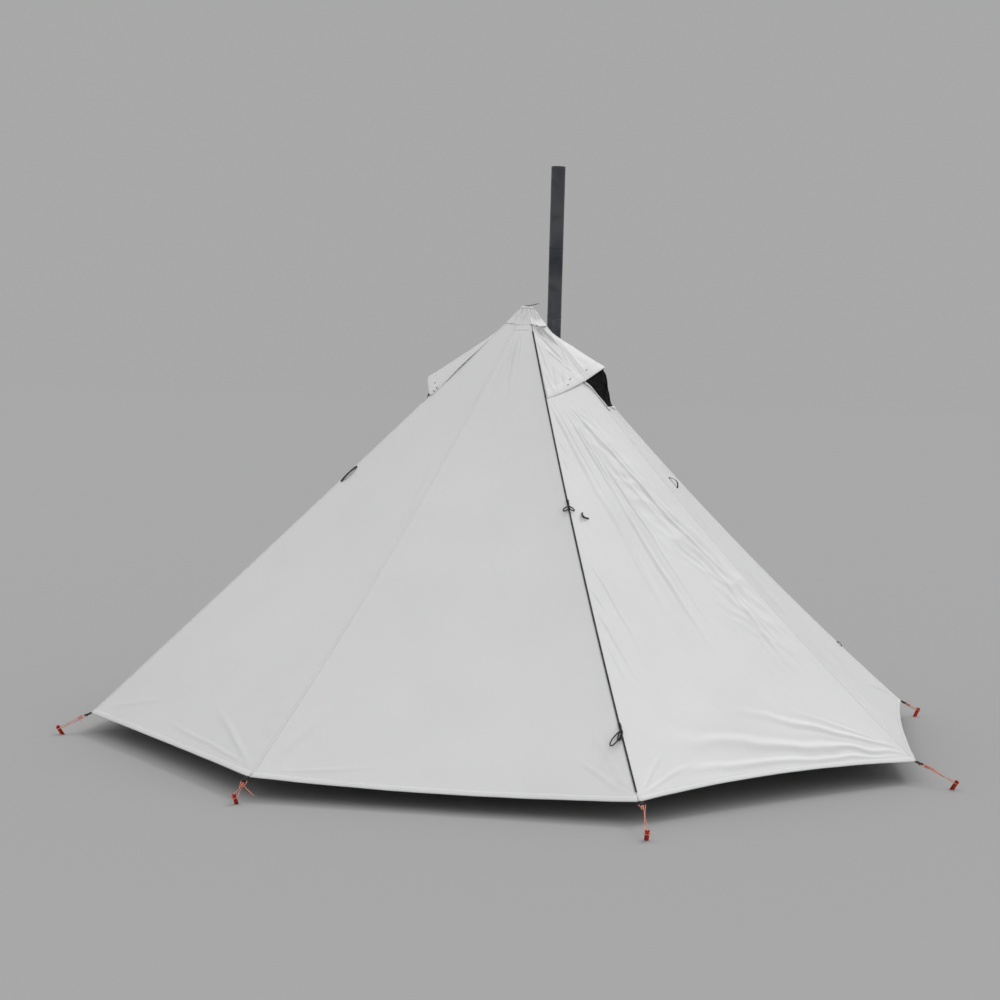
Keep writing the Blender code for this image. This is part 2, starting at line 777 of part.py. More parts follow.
def make_corners():
    """Folded webbing with an eye at its end, sewn to each hem corner."""
    lay_flat = Matrix.Rotation(math.radians(90.0), 4, "X")
    outer = TAB_EYE_RADIUS + TAB_WEB
    root = GAP * 3
    outline = [(root, -TAB_WEB)]
    outline += arc((tab_eye(), 0.0), outer, -110.0, 110.0, 12)
    outline += [(root, TAB_WEB)]
    eye = arc((tab_eye(), 0.0), TAB_EYE_RADIUS, 0.0, 330.0, 11)
    for corner in range(PANEL_COUNT):
        place = corner_place(corner) @ lay_flat
        flat_outline("corner_tab_%d" % (corner + 1), [outline, eye], TAB_WIDTH, black_webbing(), place)


def smooth_route(points, step):
    """Evenly spaced points on a smooth curve through a route's own points."""
    dense = []
    last = len(points) - 1
    for n in range(last):
        before = points[max(n - 1, 0)]
        start = points[n]
        end = points[n + 1]
        after = points[min(n + 2, last)]
        for part in range(24):
            t = part / 24.0
            dense.append(
                0.5
                * (
                    2.0 * start
                    + (end - before) * t
                    + (2.0 * before - 5.0 * start + 4.0 * end - after) * t * t
                    + (3.0 * start - before - 3.0 * end + after) * t * t * t
                )
            )
    dense.append(points[last])
    total = sum((b - a).length for a, b in zip(dense, dense[1:]))
    count = max(2, round(total / step))
    spaced = [dense[0]]
    travelled = 0.0
    target = total / count
    for a, b in zip(dense, dense[1:]):
        length = (b - a).length
        while length > 0.0 and travelled + length >= target * len(spaced) and len(spaced) < count:
            spaced.append(a.lerp(b, (target * len(spaced) - travelled) / length))
        travelled += length
    spaced.append(dense[-1])
    return spaced


def cord_tube(name, route, diameter, step, finish):
    points = smooth_route(route, step)
    curve = bpy.data.curves.new(name, "CURVE")
    curve.dimensions = "3D"
    curve.bevel_depth = diameter / 2
    curve.bevel_resolution = 2
    curve.use_fill_caps = True
    spline = curve.splines.new("POLY")
    spline.points.add(len(points) - 1)
    for point, place in zip(spline.points, points):
        point.co = (*place, 1.0)
    curve.materials.append(finish)
    item = bpy.data.objects.new(name, curve)
    parts.objects.link(item)
    return item


def guyline_route(corner):
    """A cord doubled between the webbing's eye and its peg, with both ends at one knot."""
    place = corner_place(corner)
    eye = tab_eye()
    span = (notch_point(corner) - corner_point(corner)).length
    straight = TAB_WIDTH / 2 - CORD / 2
    wide = straight + CORD_BEND
    round_peg = PEG_VANE + CORD / 2 + PEG_ROOM
    peg_up = peg_place(corner).to_3x3().col[2]
    behind_peg = PEG_VANE / peg_up.dot(place.to_3x3().col[2]) + CORD / 2 + PEG_ROOM
    knot = eye + KNOT_REACH * min(1.0, span / (4.0 * KNOT_REACH))
    tail = TAIL_LENGTH * TAIL_LENGTH_SHARES[corner]
    rise = CORD * 1.3
    points = []
    if tail > 0.0:
        points.append((knot + tail * 0.45, CORD_SPREAD * 3.0 + tail * 0.7, -tail * 0.3))
        points.append((knot + tail * 0.2, CORD_SPREAD * 2.0 + tail * 0.25, -tail * 0.05))
    points.append((knot, CORD_SPREAD, rise))
    points.append((knot + (span - knot) * 0.5, -CORD_SPREAD * 0.2, rise * 0.6))
    points.append((span - PEG_VANE, -round_peg * 0.92, 0.0))
    points.append((span, -round_peg, 0.0))
    points.append((span + behind_peg * 0.75, -round_peg * 0.75, 0.0))
    points.append((span + behind_peg, 0.0, 0.0))
    points.append((span + behind_peg * 0.75, round_peg * 0.75, 0.0))
    points.append((span, round_peg, 0.0))
    points.append((span - PEG_VANE, round_peg * 0.92, -CORD * 0.3))
    points.append((knot + (span - knot) * 0.35, CORD_SPREAD, -rise))
    corner_bend = CORD_BEND * (1.0 - math.sqrt(0.5))
    points.append((eye + CORD_BEND, wide, -CORD * 0.2))
    points.append((eye + corner_bend, wide - corner_bend, 0.0))
    points.append((eye, straight, 0.0))
    points.append((eye, 0.0, 0.0))
    points.append((eye, -straight, 0.0))
    points.append((eye + corner_bend, -wide + corner_bend, 0.0))
    points.append((eye + CORD_BEND, -wide, CORD * 0.2))
    points.append((knot, -CORD_SPREAD, rise * 0.5))
    return [place @ Vector(point) for point in points]


def make_guylines():
    orange = material("guy_cord", (0.75, 0.3, 0.2), 0.7)
    for corner in range(PANEL_COUNT):
        cord_tube("guyline_%d" % (corner + 1), guyline_route(corner), CORD, CORD_STEP, orange)


# Centre pole


def make_pole():
    alloy = material("pole_alloy", (0.55, 0.56, 0.58), 0.35, 0.9)
    plastic = material("pole_plastic", (0.03, 0.03, 0.035), 0.6)
    rubber = material("pole_rubber", (0.02, 0.02, 0.02), 0.85)
    socket = LOWER_TUBE_RADIUS + GAP
    foot = (
        (0.0, FOOT_FLOOR),
        (socket, FOOT_FLOOR),
        (socket, FOOT_HEIGHT),
        (socket + TUBE_WALL, FOOT_HEIGHT),
        (FOOT_RADIUS, FOOT_FLOOR),
        (FOOT_RADIUS, 0.0),
        (0.0, 0.0),
    )
    turned("pole_foot", foot, rubber, POLE_SEGMENTS)
    tube_start = FOOT_FLOOR + GAP
    tube("pole_lower_tube", LOWER_TUBE_RADIUS, TUBE_WALL, tube_start, LOWER_TUBE_TOP, alloy, POLE_SEGMENTS)
    tip_base = POLE_TOP - TIP_HEIGHT
    inner = UPPER_TUBE_RADIUS - TUBE_WALL
    tube_end = tip_base - GAP
    tube("pole_upper_tube", UPPER_TUBE_RADIUS, TUBE_WALL, UPPER_TUBE_BOTTOM, tube_end, alloy, POLE_SEGMENTS)
    dome = [(0.0, POLE_TOP)]
    dome += [(TIP_RADIUS * 0.5, POLE_TOP), (TIP_RADIUS * 0.85, POLE_TOP - TIP_HEIGHT * 0.12)]
    dome += [(TIP_RADIUS, POLE_TOP - TIP_HEIGHT * 0.4), (TIP_RADIUS, tip_base)]
    dome += [(inner - GAP, tip_base), (inner - GAP, tip_base - TIP_PLUG), (0.0, tip_base - TIP_PLUG)]
    turned("pole_tip", dome, plastic, POLE_SEGMENTS)
    make_clamp(plastic)


def lever_pin():
    """The middle of the lever's pin."""
    height = LOWER_TUBE_TOP - CLAMP_SEAT + CLAMP_HEIGHT / 2
    return Vector((CLAMP_RADIUS + EAR_REACH * 0.55, 0.0, height))


def make_clamp(plastic):
    """A flip-lock clamp: a stepped collar on the lower tube, and a lever on a pin in its ears."""
    low = LOWER_TUBE_TOP - CLAMP_SEAT
    high = low + CLAMP_HEIGHT
    step = LOWER_TUBE_TOP + GAP
    wide = LOWER_TUBE_RADIUS + GAP
    narrow = UPPER_TUBE_RADIUS + GAP
    outline = (
        (CLAMP_RADIUS, high),
        (CLAMP_RADIUS, low),
        (wide, low),
        (wide, step),
        (narrow, step),
        (narrow, high),
    )
    collar = turned("pole_clamp", outline, plastic, POLE_SEGMENTS)
    pin = lever_pin()
    half = EAR_SPREAD / 2 + EAR_THICKNESS

    def ears(bm):
        root = CLAMP_RADIUS - TUBE_WALL
        reach = EAR_REACH + TUBE_WALL
        for side in (-1.0, 1.0):
            centre = (root + reach / 2, side * (EAR_SPREAD + EAR_THICKNESS) / 2, pin.z)
            add_box(bm, (reach, EAR_THICKNESS, CLAMP_HEIGHT * 0.5), centre)

    def axle(bm):
        inside = half - EAR_THICKNESS / 2
        add_cylinder(bm, LEVER_PIN_RADIUS, pin - Vector((0, inside, 0)), pin + Vector((0, inside, 0)), 16)

    combine(collar, ears, "clamp_ears", "UNION")
    combine(collar, axle, "clamp_axle", "UNION")
    settle(collar)
    bore = LEVER_PIN_RADIUS + GAP
    stand = Matrix.Translation(pin) @ Matrix.Rotation(math.radians(90.0), 4, "X")
    arm = LEVER_THICKNESS
    right = LEVER_HEAD_RADIUS
    outline = arc((0.0, 0.0), LEVER_HEAD_RADIUS, 0.0, 180.0, 10)
    outline += [(-right + arm * 0.2, -LEVER_LENGTH * 0.5)]
    outline += [(-right + arm * 0.5, -LEVER_LENGTH), (-right + arm * 1.6, -LEVER_LENGTH)]
    outline += [(-right + arm * 1.3, -LEVER_LENGTH * 0.5)]
    eye = arc((0.0, 0.0), bore, 0.0, 337.5, 15)
    mirrored = [(-x, y) for x, y in outline]
    width = EAR_SPREAD - 2.0 * GAP
    flat_outline("pole_lever", [mirrored, eye], width, plastic, stand)


# Stove and flue


def make_flue():
    """Six sections, each with its neck inside the one below, up from the stove's collar."""
    steel = material("flue_steel", (0.045, 0.05, 0.058), 0.4, 0.8)
    place = Matrix.Translation(flue_centre())
    base = STOVE_TOP + COLLAR_HEIGHT
    inner = FLUE_RADIUS - FLUE_WALL
    neck = inner - GAP
    for number in range(1, FLUE_SECTIONS + 1):
        top = base + (FLUE_TOP_LENGTH if number == FLUE_SECTIONS else FLUE_PITCH)
        low = base + GAP
        bead = FLUE_RADIUS + FLUE_BEAD
        outline = [
            (FLUE_RADIUS, top),
            (FLUE_RADIUS, low + FLUE_BEAD * 5),
            (bead, low + FLUE_BEAD * 3),
            (FLUE_RADIUS, low),
            (neck, low),
            (neck - FLUE_WALL * 0.4, low - FLUE_NECK),
            (neck - FLUE_WALL * 1.4, low - FLUE_NECK),
            (inner, low + FLUE_WALL * 2),
            (inner, top),
        ]
        turned("flue_section_%d" % number, outline, steel, FLUE_SEGMENTS, place)
        base = top


def make_jack():
    """The heat-proof patch around the flue, and its rain flap rolled up above it."""
    patch = material("jack_patch", (0.12, 0.12, 0.125), 0.8)
    centre = flue_centre()
    middle = ridge_share_at(centre)
    half = JACK_LENGTH / SLOPE / 2
    shares = [middle - half + 2.0 * half * row / 6 for row in range(7)]
    rows = []
    for share in shares:
        edge = JACK_WIDTH / seam_width(JACK_PANEL, share)
        rows.append([])
        for column in range(7):
            across = 0.5 + edge * (column / 6 - 0.5)
            rows[-1].append(panel_point(JACK_PANEL, across, share, FABRIC + GAP))
    item = sheet("stove_jack", rows, JACK_FABRIC, patch)
    cut_flue_hole(item, (FLUE_RADIUS + GAP) / math.cos(math.pi / FLUE_SEGMENTS))
    flap_share = middle - half - (FLAP_ROLL_RADIUS + FLAP_FABRIC) * 1.3 / SLOPE
    seat = panel_point(JACK_PANEL, 0.5, flap_share, 0.0)
    outward = panel_normal(JACK_PANEL, flap_share)
    side = (seam_point(JACK_PANEL, flap_share) - seam_point(JACK_PANEL + 1, flap_share)).normalized()
    front = outward.cross(side)
    turn = Matrix((front, outward, side)).transposed().to_4x4()
    outside = []
    inside = []
    steps = round(14 * FLAP_ROLL_TURNS)
    for step in range(steps + 1):
        angle = 2.0 * math.pi * FLAP_ROLL_TURNS * step / steps
        radius = FLAP_ROLL_RADIUS * (1.0 - (1.0 - FLAP_LEFT_SHARE) * step / steps)
        outside.append((radius * math.cos(angle), radius * math.sin(angle)))
        radius -= FLAP_FABRIC
        inside.append((radius * math.cos(angle), radius * math.sin(angle)))
    lift = FABRIC + GAP - min(y for _, y in outside)
    place = Matrix.Translation(seat + outward * lift) @ turn
    flat_outline("jack_flap", [outside + inside[::-1]], JACK_WIDTH, patch, place)


def ridge_share_at(point):
    """How far down its panel a point above the ground lies, going by its distance from the pole."""
    reach = point.to_2d().length
    low = 0.0
    high = 1.0
    for _ in range(40):
        middle = (low + high) / 2
        here = seam_point(JACK_PANEL, middle).lerp(seam_point(JACK_PANEL + 1, middle), 0.5)
        if here.to_2d().length < reach:
            low = middle
        else:
            high = middle
    return low


def make_stove():
    """A box stove on four legs: shell with a mouth, flue collar, hinge lugs and a hinged door."""
    steel = material("stove_steel", (0.03, 0.03, 0.032), 0.6, 0.5)
    centre = flue_centre()
    back = centre.y + COLLAR_BACK
    front = back - STOVE_LENGTH
    middle = Vector((centre.x, (back + front) / 2, STOVE_TOP - STOVE_HEIGHT / 2))
    place = Matrix.Translation(middle)

    def shell(bm):
        add_box(bm, (STOVE_WIDTH, STOVE_LENGTH, STOVE_HEIGHT), (0.0, 0.0, 0.0))

    item = add_part("stove_body", mesh_from("stove_body", shell), steel, place)
    edge = item.modifiers.new("Edges", "BEVEL")
    edge.width = STOVE_BEVEL
    edge.segments = 2
    bottom = -STOVE_HEIGHT / 2
    inner_width = STOVE_WIDTH - 2 * STOVE_WALL
    inner_length = STOVE_LENGTH - 2 * STOVE_WALL
    flue_at = Vector((0.0, centre.y - middle.y, 0.0))
    neck_room = FLUE_RADIUS - FLUE_WALL

    def legs(bm):
        length = STOVE_TOP - STOVE_HEIGHT + STOVE_WALL / 2
        for x in (-1.0, 1.0):
            for y in (-1.0, 1.0):
                at = (
                    x * (STOVE_WIDTH / 2 - LEG_INSET - LEG_WIDTH / 2),
                    y * (STOVE_LENGTH / 2 - LEG_INSET - LEG_WIDTH / 2),
                    bottom + STOVE_WALL / 2 - length / 2,
                )
                add_box(bm, (LEG_WIDTH, LEG_WIDTH, length), at)

    def collar(bm):
        low = flue_at + Vector((0.0, 0.0, STOVE_HEIGHT / 2 - STOVE_WALL / 2))
        high = flue_at + Vector((0.0, 0.0, STOVE_TOP + COLLAR_HEIGHT - GAP - middle.z))
        add_cylinder(bm, neck_room + COLLAR_WALL, low, high, FLUE_SEGMENTS)

    def chamber(bm):
        add_box(bm, (inner_width, inner_length, STOVE_HEIGHT - 2 * STOVE_WALL), (0.0, 0.0, 0.0))

    def flue_way(bm):
        low = flue_at
        high = flue_at + Vector((0.0, 0.0, STOVE_HEIGHT))
        add_cylinder(bm, neck_room, low, high, FLUE_SEGMENTS)

    def mouth(bm):
        add_box(bm, (MOUTH_WIDTH, OVERRUN, MOUTH_HEIGHT), (0.0, -STOVE_LENGTH / 2, 0.0))

    hinge_x = -(MOUTH_WIDTH / 2 + DOOR_LAP + DOOR_KNUCKLE_RADIUS + GAP)
    hinge_y = -(STOVE_LENGTH / 2 + DOOR_KNUCKLE_RADIUS + GAP)
    knuckle_half = (MOUTH_HEIGHT + 2 * DOOR_LAP) * DOOR_KNUCKLE_SHARE / 2

    def lugs(bm):
        seat = -STOVE_LENGTH / 2 + STOVE_WALL / 2
        outline = arc((hinge_x, hinge_y), DOOR_KNUCKLE_RADIUS, 180.0, 360.0, 10)
        outline += [(hinge_x + DOOR_KNUCKLE_RADIUS, seat), (hinge_x - DOOR_KNUCKLE_RADIUS, seat)]
        add_prism(bm, outline, knuckle_half + GAP, knuckle_half + GAP + LUG_HEIGHT)
        add_prism(bm, outline, -knuckle_half - GAP - LUG_HEIGHT, -knuckle_half - GAP)

    def pin(bm):
        reach = knuckle_half + GAP + LUG_HEIGHT / 2
        add_cylinder(bm, DOOR_PIN_RADIUS, (hinge_x, hinge_y, -reach), (hinge_x, hinge_y, reach), 16)

    combine(item, legs, "stove_legs", "UNION")
    combine(item, collar, "stove_collar", "UNION")
    combine(item, chamber, "stove_chamber", "DIFFERENCE")
    combine(item, flue_way, "stove_flue_way", "DIFFERENCE")
    combine(item, mouth, "stove_mouth", "DIFFERENCE")
    combine(item, lugs, "stove_lugs", "UNION")
    combine(item, pin, "stove_pin", "UNION")
    settle(item)

    hinge = Matrix.Translation(middle + Vector((hinge_x, hinge_y, 0.0)))
    door_width = MOUTH_WIDTH + 2 * DOOR_LAP
    door_height = MOUTH_HEIGHT + 2 * DOOR_LAP
    face = DOOR_KNUCKLE_RADIUS
    plate_x = DOOR_KNUCKLE_RADIUS + GAP + door_width / 2

    def plate(bm):
        add_box(bm, (door_width, DOOR_PLATE, door_height), (plate_x, face - DOOR_PLATE / 2, 0.0))

    def barrel(bm):
        add_cylinder(bm, DOOR_KNUCKLE_RADIUS, (0.0, 0.0, -knuckle_half), (0.0, 0.0, knuckle_half), 20)

    def leaf(bm):
        add_box(bm, (plate_x, DOOR_PLATE, knuckle_half * 1.9), (plate_x / 2, face - DOOR_PLATE / 2, 0.0))

    def bore(bm):
        reach = knuckle_half + OVERRUN
        add_cylinder(bm, DOOR_PIN_RADIUS + GAP, (0.0, 0.0, -reach), (0.0, 0.0, reach), 16)

    knob_x = plate_x + door_width / 2 - KNOB_RADIUS * 2
    neck = face - DOOR_PLATE - KNOB_LENGTH * 0.4

    def stem(bm):
        start = (knob_x, face - DOOR_PLATE / 2, 0.0)
        add_cylinder(bm, KNOB_STEM_RADIUS, start, (knob_x, neck - KNOB_STEM_RADIUS, 0.0), 16)

    def grip(bm):
        add_cylinder(bm, KNOB_RADIUS, (knob_x, neck, 0.0), (knob_x, neck - KNOB_LENGTH * 0.6, 0.0), 20)

    door = add_part("stove_door", mesh_from("stove_door", plate), steel, hinge)
    combine(door, leaf, "door_leaf", "UNION")
    combine(door, barrel, "door_barrel", "UNION")
    combine(door, bore, "door_bore", "DIFFERENCE")
    combine(door, stem, "door_stem", "UNION")
    combine(door, grip, "door_grip", "UNION")
    settle(door)


def main():
    global parts
    global cutters
    clear_scene()
    parts = new_collection(COLLECTION)
    cutters = new_collection("cutters")
    make_panels()
    crown = make_cap()
    make_peak_loop(crown)
    make_vents()
    make_zip()
    make_corners()
    make_guylines()
    make_pegs()
    make_pole()
    make_flue()
    make_jack()
    make_stove()


main()
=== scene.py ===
"""Looks of an eight-sided tipi tent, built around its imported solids. Metres, +Z up."""
import math

import bmesh
import bpy
import numpy as np
from mathutils import Matrix, Vector


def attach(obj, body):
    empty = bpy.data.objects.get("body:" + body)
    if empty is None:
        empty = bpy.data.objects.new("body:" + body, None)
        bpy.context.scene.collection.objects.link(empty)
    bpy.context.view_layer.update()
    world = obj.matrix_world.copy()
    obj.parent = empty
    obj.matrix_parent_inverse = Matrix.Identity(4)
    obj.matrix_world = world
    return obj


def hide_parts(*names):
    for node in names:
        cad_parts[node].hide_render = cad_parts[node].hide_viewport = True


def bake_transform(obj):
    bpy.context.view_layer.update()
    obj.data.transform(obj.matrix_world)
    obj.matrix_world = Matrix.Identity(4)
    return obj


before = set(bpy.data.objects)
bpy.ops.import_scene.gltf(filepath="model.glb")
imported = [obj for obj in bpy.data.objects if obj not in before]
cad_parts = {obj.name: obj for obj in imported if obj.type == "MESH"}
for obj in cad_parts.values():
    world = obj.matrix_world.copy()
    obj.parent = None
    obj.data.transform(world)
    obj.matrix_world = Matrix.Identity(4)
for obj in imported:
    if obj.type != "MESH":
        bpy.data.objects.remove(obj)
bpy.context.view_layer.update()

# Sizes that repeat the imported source's own
PANELS = 8
RADIUS = 2.0
TOP = 1.994
PEAK_RADIUS = 0.03
HEM_HEIGHT = 0.09
SAG = 0.055
RIDGE_SAG = (1.0, 1.0, 1.0, 1.0, 1.0, 0.5, 0.1, 1.0)
FABRIC = 0.0015
GAP = 0.0003
FIRST_RIDGE = -67.5
VENTS = (1, 5)
JACK = 3
DOOR = 7
HEM_RISE = (0.015, 0.013, 0.013, 0.013, 0.013, 0.013, 0.002, -0.007)
HEM_CURVE = 0.75
FOLD_DEPTH = 0.007
FOLD_SHARES = (1.0, 0.7, 0.5, 0.0, 0.5, 0.6, 0.35, 0.35)
CAP_RIM = 0.036
DOOR_START = 0.05
HOOD_END = 0.162
HOOD_START = 0.05
HOOD_LIFT = 0.1
HOOD_RIDGE_LIFT = 0.007
HOOD_RIDGE = 2.0 / 3.0
HOOD_SIDE_LIFT = FABRIC + 2.0 * GAP
HOOD_BOW = 0.1
HOOD_TOP = 0.037
# By hood: its brim's share and lift, how much of the gore beside it covers, its brim's drop at the
# ridges and at its ends, and how far its ends stand off
HOODS = {
    1: (HOOD_END, HOOD_LIFT, 0.975, 0.0, 0.042, 0.0),
    5: (0.207, HOOD_LIFT, 0.045, 0.01, 0.01, 0.012),
}
BRIM = 0.0146
VENT_TOP = 0.09
VENT_BOTTOM = 0.208
SILL = 0.222
ZIP_START = 0.052
ZIP_END = 0.985
ZIP_TOP = 0.034
TAPE_WIDTH = 0.0018
TAB_LENGTH = 0.034
TAB_WIDTH = 0.018
EYE_RADIUS = 0.003
WEB = 0.002
CORD = 0.003
CORD_STEP = 0.0078
CORD_SPREAD = 0.0045
KNOT_REACH = 0.028
TAIL = 0.075
TAIL_SHARES = (0.0, 1.0, 0.0, 0.4, 0.4, 0.4, 0.4, 0.93)
CORD_BEND = 2.0 * CORD
PEG_ROOM = 0.0006
PEG_REACH = (0.118, 0.088, 0.048, 0.06, 0.06, 0.065, 0.064, 0.048)
PEG_SWING = (-1.0, -1.1, 0.8, 0.0, 0.0, 0.0, 1.2, 0.4)
PEG_SHOWN = 0.05
PEG_LEAN = 32.0
PEG_VANE = 0.0095
PEG_NOTCH = 0.013
POLE_TOP = 2.004
LOOP_CORD = 0.004
LOOP_REACH = 0.055
LOOP_RISE = 0.012
FLUE_RADIUS = 0.036
FLUE_DISTANCE = 0.78
FLUE_ANGLE = 88.3
FLUE_PITCH = 0.35
FLUE_TOP_LENGTH = 0.42
FLUE_BASE = 0.58
FLUE_SECTIONS = 6
JACK_WIDTH = 0.3
JACK_LENGTH = 0.36
FLAP_RADIUS = 0.02

TURN = 2.0 * math.pi
# Thickness of the cloth that shows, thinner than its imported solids
CLOTH = 0.0008

SLOPE = math.hypot(RADIUS - PEAK_RADIUS, TOP - HEM_HEIGHT)
SLOPE_OUT = (RADIUS - PEAK_RADIUS) / SLOPE
SLOPE_DOWN = (TOP - HEM_HEIGHT) / SLOPE
HALF_GORE = math.sin(math.pi / PANELS)


def axes_at(place, x, y, z):
    """The frame at a place, with its axes along three directions."""
    return Matrix.Translation(place) @ Matrix((x, y, z)).transposed().to_4x4()


# Camera, as fitted to the photograph

CAMERA_PLACE = Vector((1.3795, -8.9323, 1.7224))
CAMERA_YAW, CAMERA_PITCH, CAMERA_ROLL = -0.1647, -0.0705, 0.0266
FOCAL_SHARE = 1893.8 / 1000.0
SENSOR = 36.0


def make_camera():
    flat = math.cos(CAMERA_PITCH)
    level = Vector((math.sin(CAMERA_YAW), math.cos(CAMERA_YAW), 0.0))
    ahead = level * flat + Vector((0.0, 0.0, math.sin(CAMERA_PITCH)))
    right = ahead.cross(Vector((0.0, 0.0, 1.0))).normalized()
    up = right.cross(ahead)
    across = right * math.cos(CAMERA_ROLL) + up * math.sin(CAMERA_ROLL)
    above = up * math.cos(CAMERA_ROLL) - right * math.sin(CAMERA_ROLL)
    data = bpy.data.cameras.new("camera")
    data.sensor_width = SENSOR
    data.lens = FOCAL_SHARE * SENSOR
    camera = bpy.data.objects.new("camera", data)
    camera.matrix_world = axes_at(CAMERA_PLACE, across, above, -ahead)
    bpy.context.scene.collection.objects.link(camera)
    bpy.context.scene.camera = camera


# Materials

def feed(tree, socket, value):
    """Links an output to a socket, or sets the socket's own value."""
    if isinstance(value, bpy.types.NodeSocket):
        tree.links.new(value, socket)
    else:
        socket.default_value = value


def add_node(tree, kind, inputs, **settings):
    """The outputs of a new node."""
    made = tree.nodes.new(kind)
    for name, value in settings.items():
        setattr(made, name, value)
    for name, value in inputs.items():
        feed(tree, made.inputs[name], value)
    return made.outputs


class Finish:
    """A material's node tree, with short calls that add and link its nodes."""

    def __init__(self, name, colour, roughness, metallic=0.0, **sockets):
        self.material = bpy.data.materials.new(name)
        self.material.use_nodes = True
        self.tree = self.material.node_tree
        self.shader = self.tree.nodes["Principled BSDF"]
        self.colour, self.roughness = colour, roughness
        sockets.update(Base_Color=(*colour, 1.0), Roughness=roughness, Metallic=metallic)
        for socket, value in sockets.items():
            self.put(socket.replace("_", " "), value)
        self.coords = self.tree.nodes.new("ShaderNodeTexCoord")
        self.parts = None

    def put(self, socket, value):
        feed(self.tree, self.shader.inputs[socket], value)

    def node(self, kind, inputs, **settings):
        return add_node(self.tree, kind, inputs, **settings)

    def noise(self, scale, detail=3.0, stretch=None):
        vector = self.coords.outputs["Object"]
        if stretch:
            vector = self.node("ShaderNodeMapping", {0: vector, 3: stretch})[0]
        inputs = {"Vector": vector, "Scale": scale, "Detail": detail}
        return self.node("ShaderNodeTexNoise", inputs)[0]

    def math(self, operation, first, second=0.0, third=0.0):
        inputs = {0: first, 1: second, 2: third}
        return self.node("ShaderNodeMath", inputs, operation=operation)[0]

    def times(self, first, second):
        return self.math("MULTIPLY", first, second)

    def span(self, value, low, high, new_low, new_high):
        inputs = {0: value, 1: low, 2: high, 3: new_low, 4: new_high}
        return self.node("ShaderNodeMapRange", inputs, clamp=True)[0]

    def mix(self, share, first, second):
        inputs = {0: share, 6: first, 7: second}
        return self.node("ShaderNodeMix", inputs, data_type="RGBA")[2]

    def uv(self, axis):
        if self.parts is None:
            self.parts = self.node("ShaderNodeSeparateXYZ", {0: self.coords.outputs["UV"]})
        return self.parts[axis]

    def wave(self, axis, length):
        return self.math("SINE", self.times(self.uv(axis), TURN / length))

    def thread(self, axis, pitch, width):
        """Raised threads, twice the pitch apart."""
        return self.span(self.math("PINGPONG", self.uv(axis), pitch), 0.0, width, 1.0, 0.0)

    def bump(self, height, distance, strength=1.0):
        inputs = {"Height": height, "Distance": distance, "Strength": strength}
        for link in self.shader.inputs["Normal"].links:
            inputs["Normal"] = link.from_socket
        self.put("Normal", self.node("ShaderNodeBump", inputs)[0])

    def vary(self, scale, colour_change, rough_change):
        """Uneven tone and gloss from soft noise."""
        dark, light = [
            tuple(min(1.0, c * (1.0 + change)) for c in self.colour) + (1.0,)
            for change in (-colour_change, colour_change)]
        tone = self.span(self.noise(scale, 4.0), 0.3, 0.7, 0.0, 1.0)
        self.put("Base Color", self.mix(tone, dark, light))
        low, high = self.roughness - rough_change, self.roughness + rough_change
        self.put("Roughness", self.span(self.noise(scale * 2.3), 0.3, 0.7, low, high))


def cloth_finish(name, colour, stitched=0.0):
    """Coated ripstop. UV is in metres: U along the cloth or seam, V across it."""
    made = Finish(name, colour, 0.47, Specular_IOR_Level=0.5, Sheen_Weight=0.04)
    made.vary(1.7, 0.02, 0.05)
    warp, weft = [
        made.math("MULTIPLY_ADD", made.wave(axis, 0.0009), 0.25, made.thread(axis, 0.0025, 0.0005))
        for axis in (0, 1)]
    made.bump(made.math("ADD", warp, weft), 0.00012, 0.6)
    made.bump(made.noise(38.0, 5.0), 0.0012, 0.35)
    if stitched:
        away = made.math("SUBTRACT", made.math("ABSOLUTE", made.uv(1)), stitched)
        line = made.span(made.math("ABSOLUTE", away), 0.0004, 0.0007, 1.0, 0.0)
        gap = made.math("PINGPONG", made.uv(0), 0.0018)
        stitch = made.times(line, made.span(gap, 0.0003, 0.0005, 0.0, 1.0))
        base = made.shader.inputs["Base Color"].links[0].from_socket
        made.put("Base Color", made.mix(made.times(stitch, 0.8), base, (0.8, 0.8, 0.8, 1.0)))
        made.bump(stitch, 0.0005)
        made.bump(line, -0.0006)
    return made.material


def webbing_finish(name, colour):
    made = Finish(name, colour, 0.7)
    made.vary(60.0, 0.25, 0.08)
    made.bump(made.times(made.wave(0, 0.0016), made.wave(1, 0.0024)), 0.0003)
    return made.material


def cord_finish(name, colour, fleck, share):
    """Braided cord: U runs along it in metres and V round it."""
    made = Finish(name, colour, 0.6)
    turn, length = made.times(made.uv(1), 8.0), made.times(made.uv(0), 320.0)
    one, two = [
        made.math("SINE", made.times(made.math(way, length, turn), math.pi))
        for way in ("ADD", "SUBTRACT")]
    made.bump(made.times(one, two), 0.0004)
    tracer = made.math("FRACT", made.math("ADD", made.times(made.uv(0), 90.0), made.uv(1)))
    mask = made.math("LESS_THAN", tracer, share)
    dark = tuple(c * 0.8 for c in colour) + (1.0,)
    plain = made.mix(made.noise(220.0), dark, (*colour, 1.0))
    made.put("Base Color", made.mix(mask, plain, (*fleck, 1.0)))
    return made.material


def metal_finish(name, colour, roughness, metallic):
    made = Finish(name, colour, roughness, metallic)
    made.vary(40.0, 0.15, 0.08)
    made.bump(made.noise(240.0, 6.0, (1.0, 1.0, 0.08)), 0.0004, 0.3)
    return made.material


def plastic_finish(name, colour, roughness):
    made = Finish(name, colour, roughness)
    made.vary(35.0, 0.12, 0.06)
    made.bump(made.noise(900.0, 2.0), 0.0002, 0.4)
    return made.material


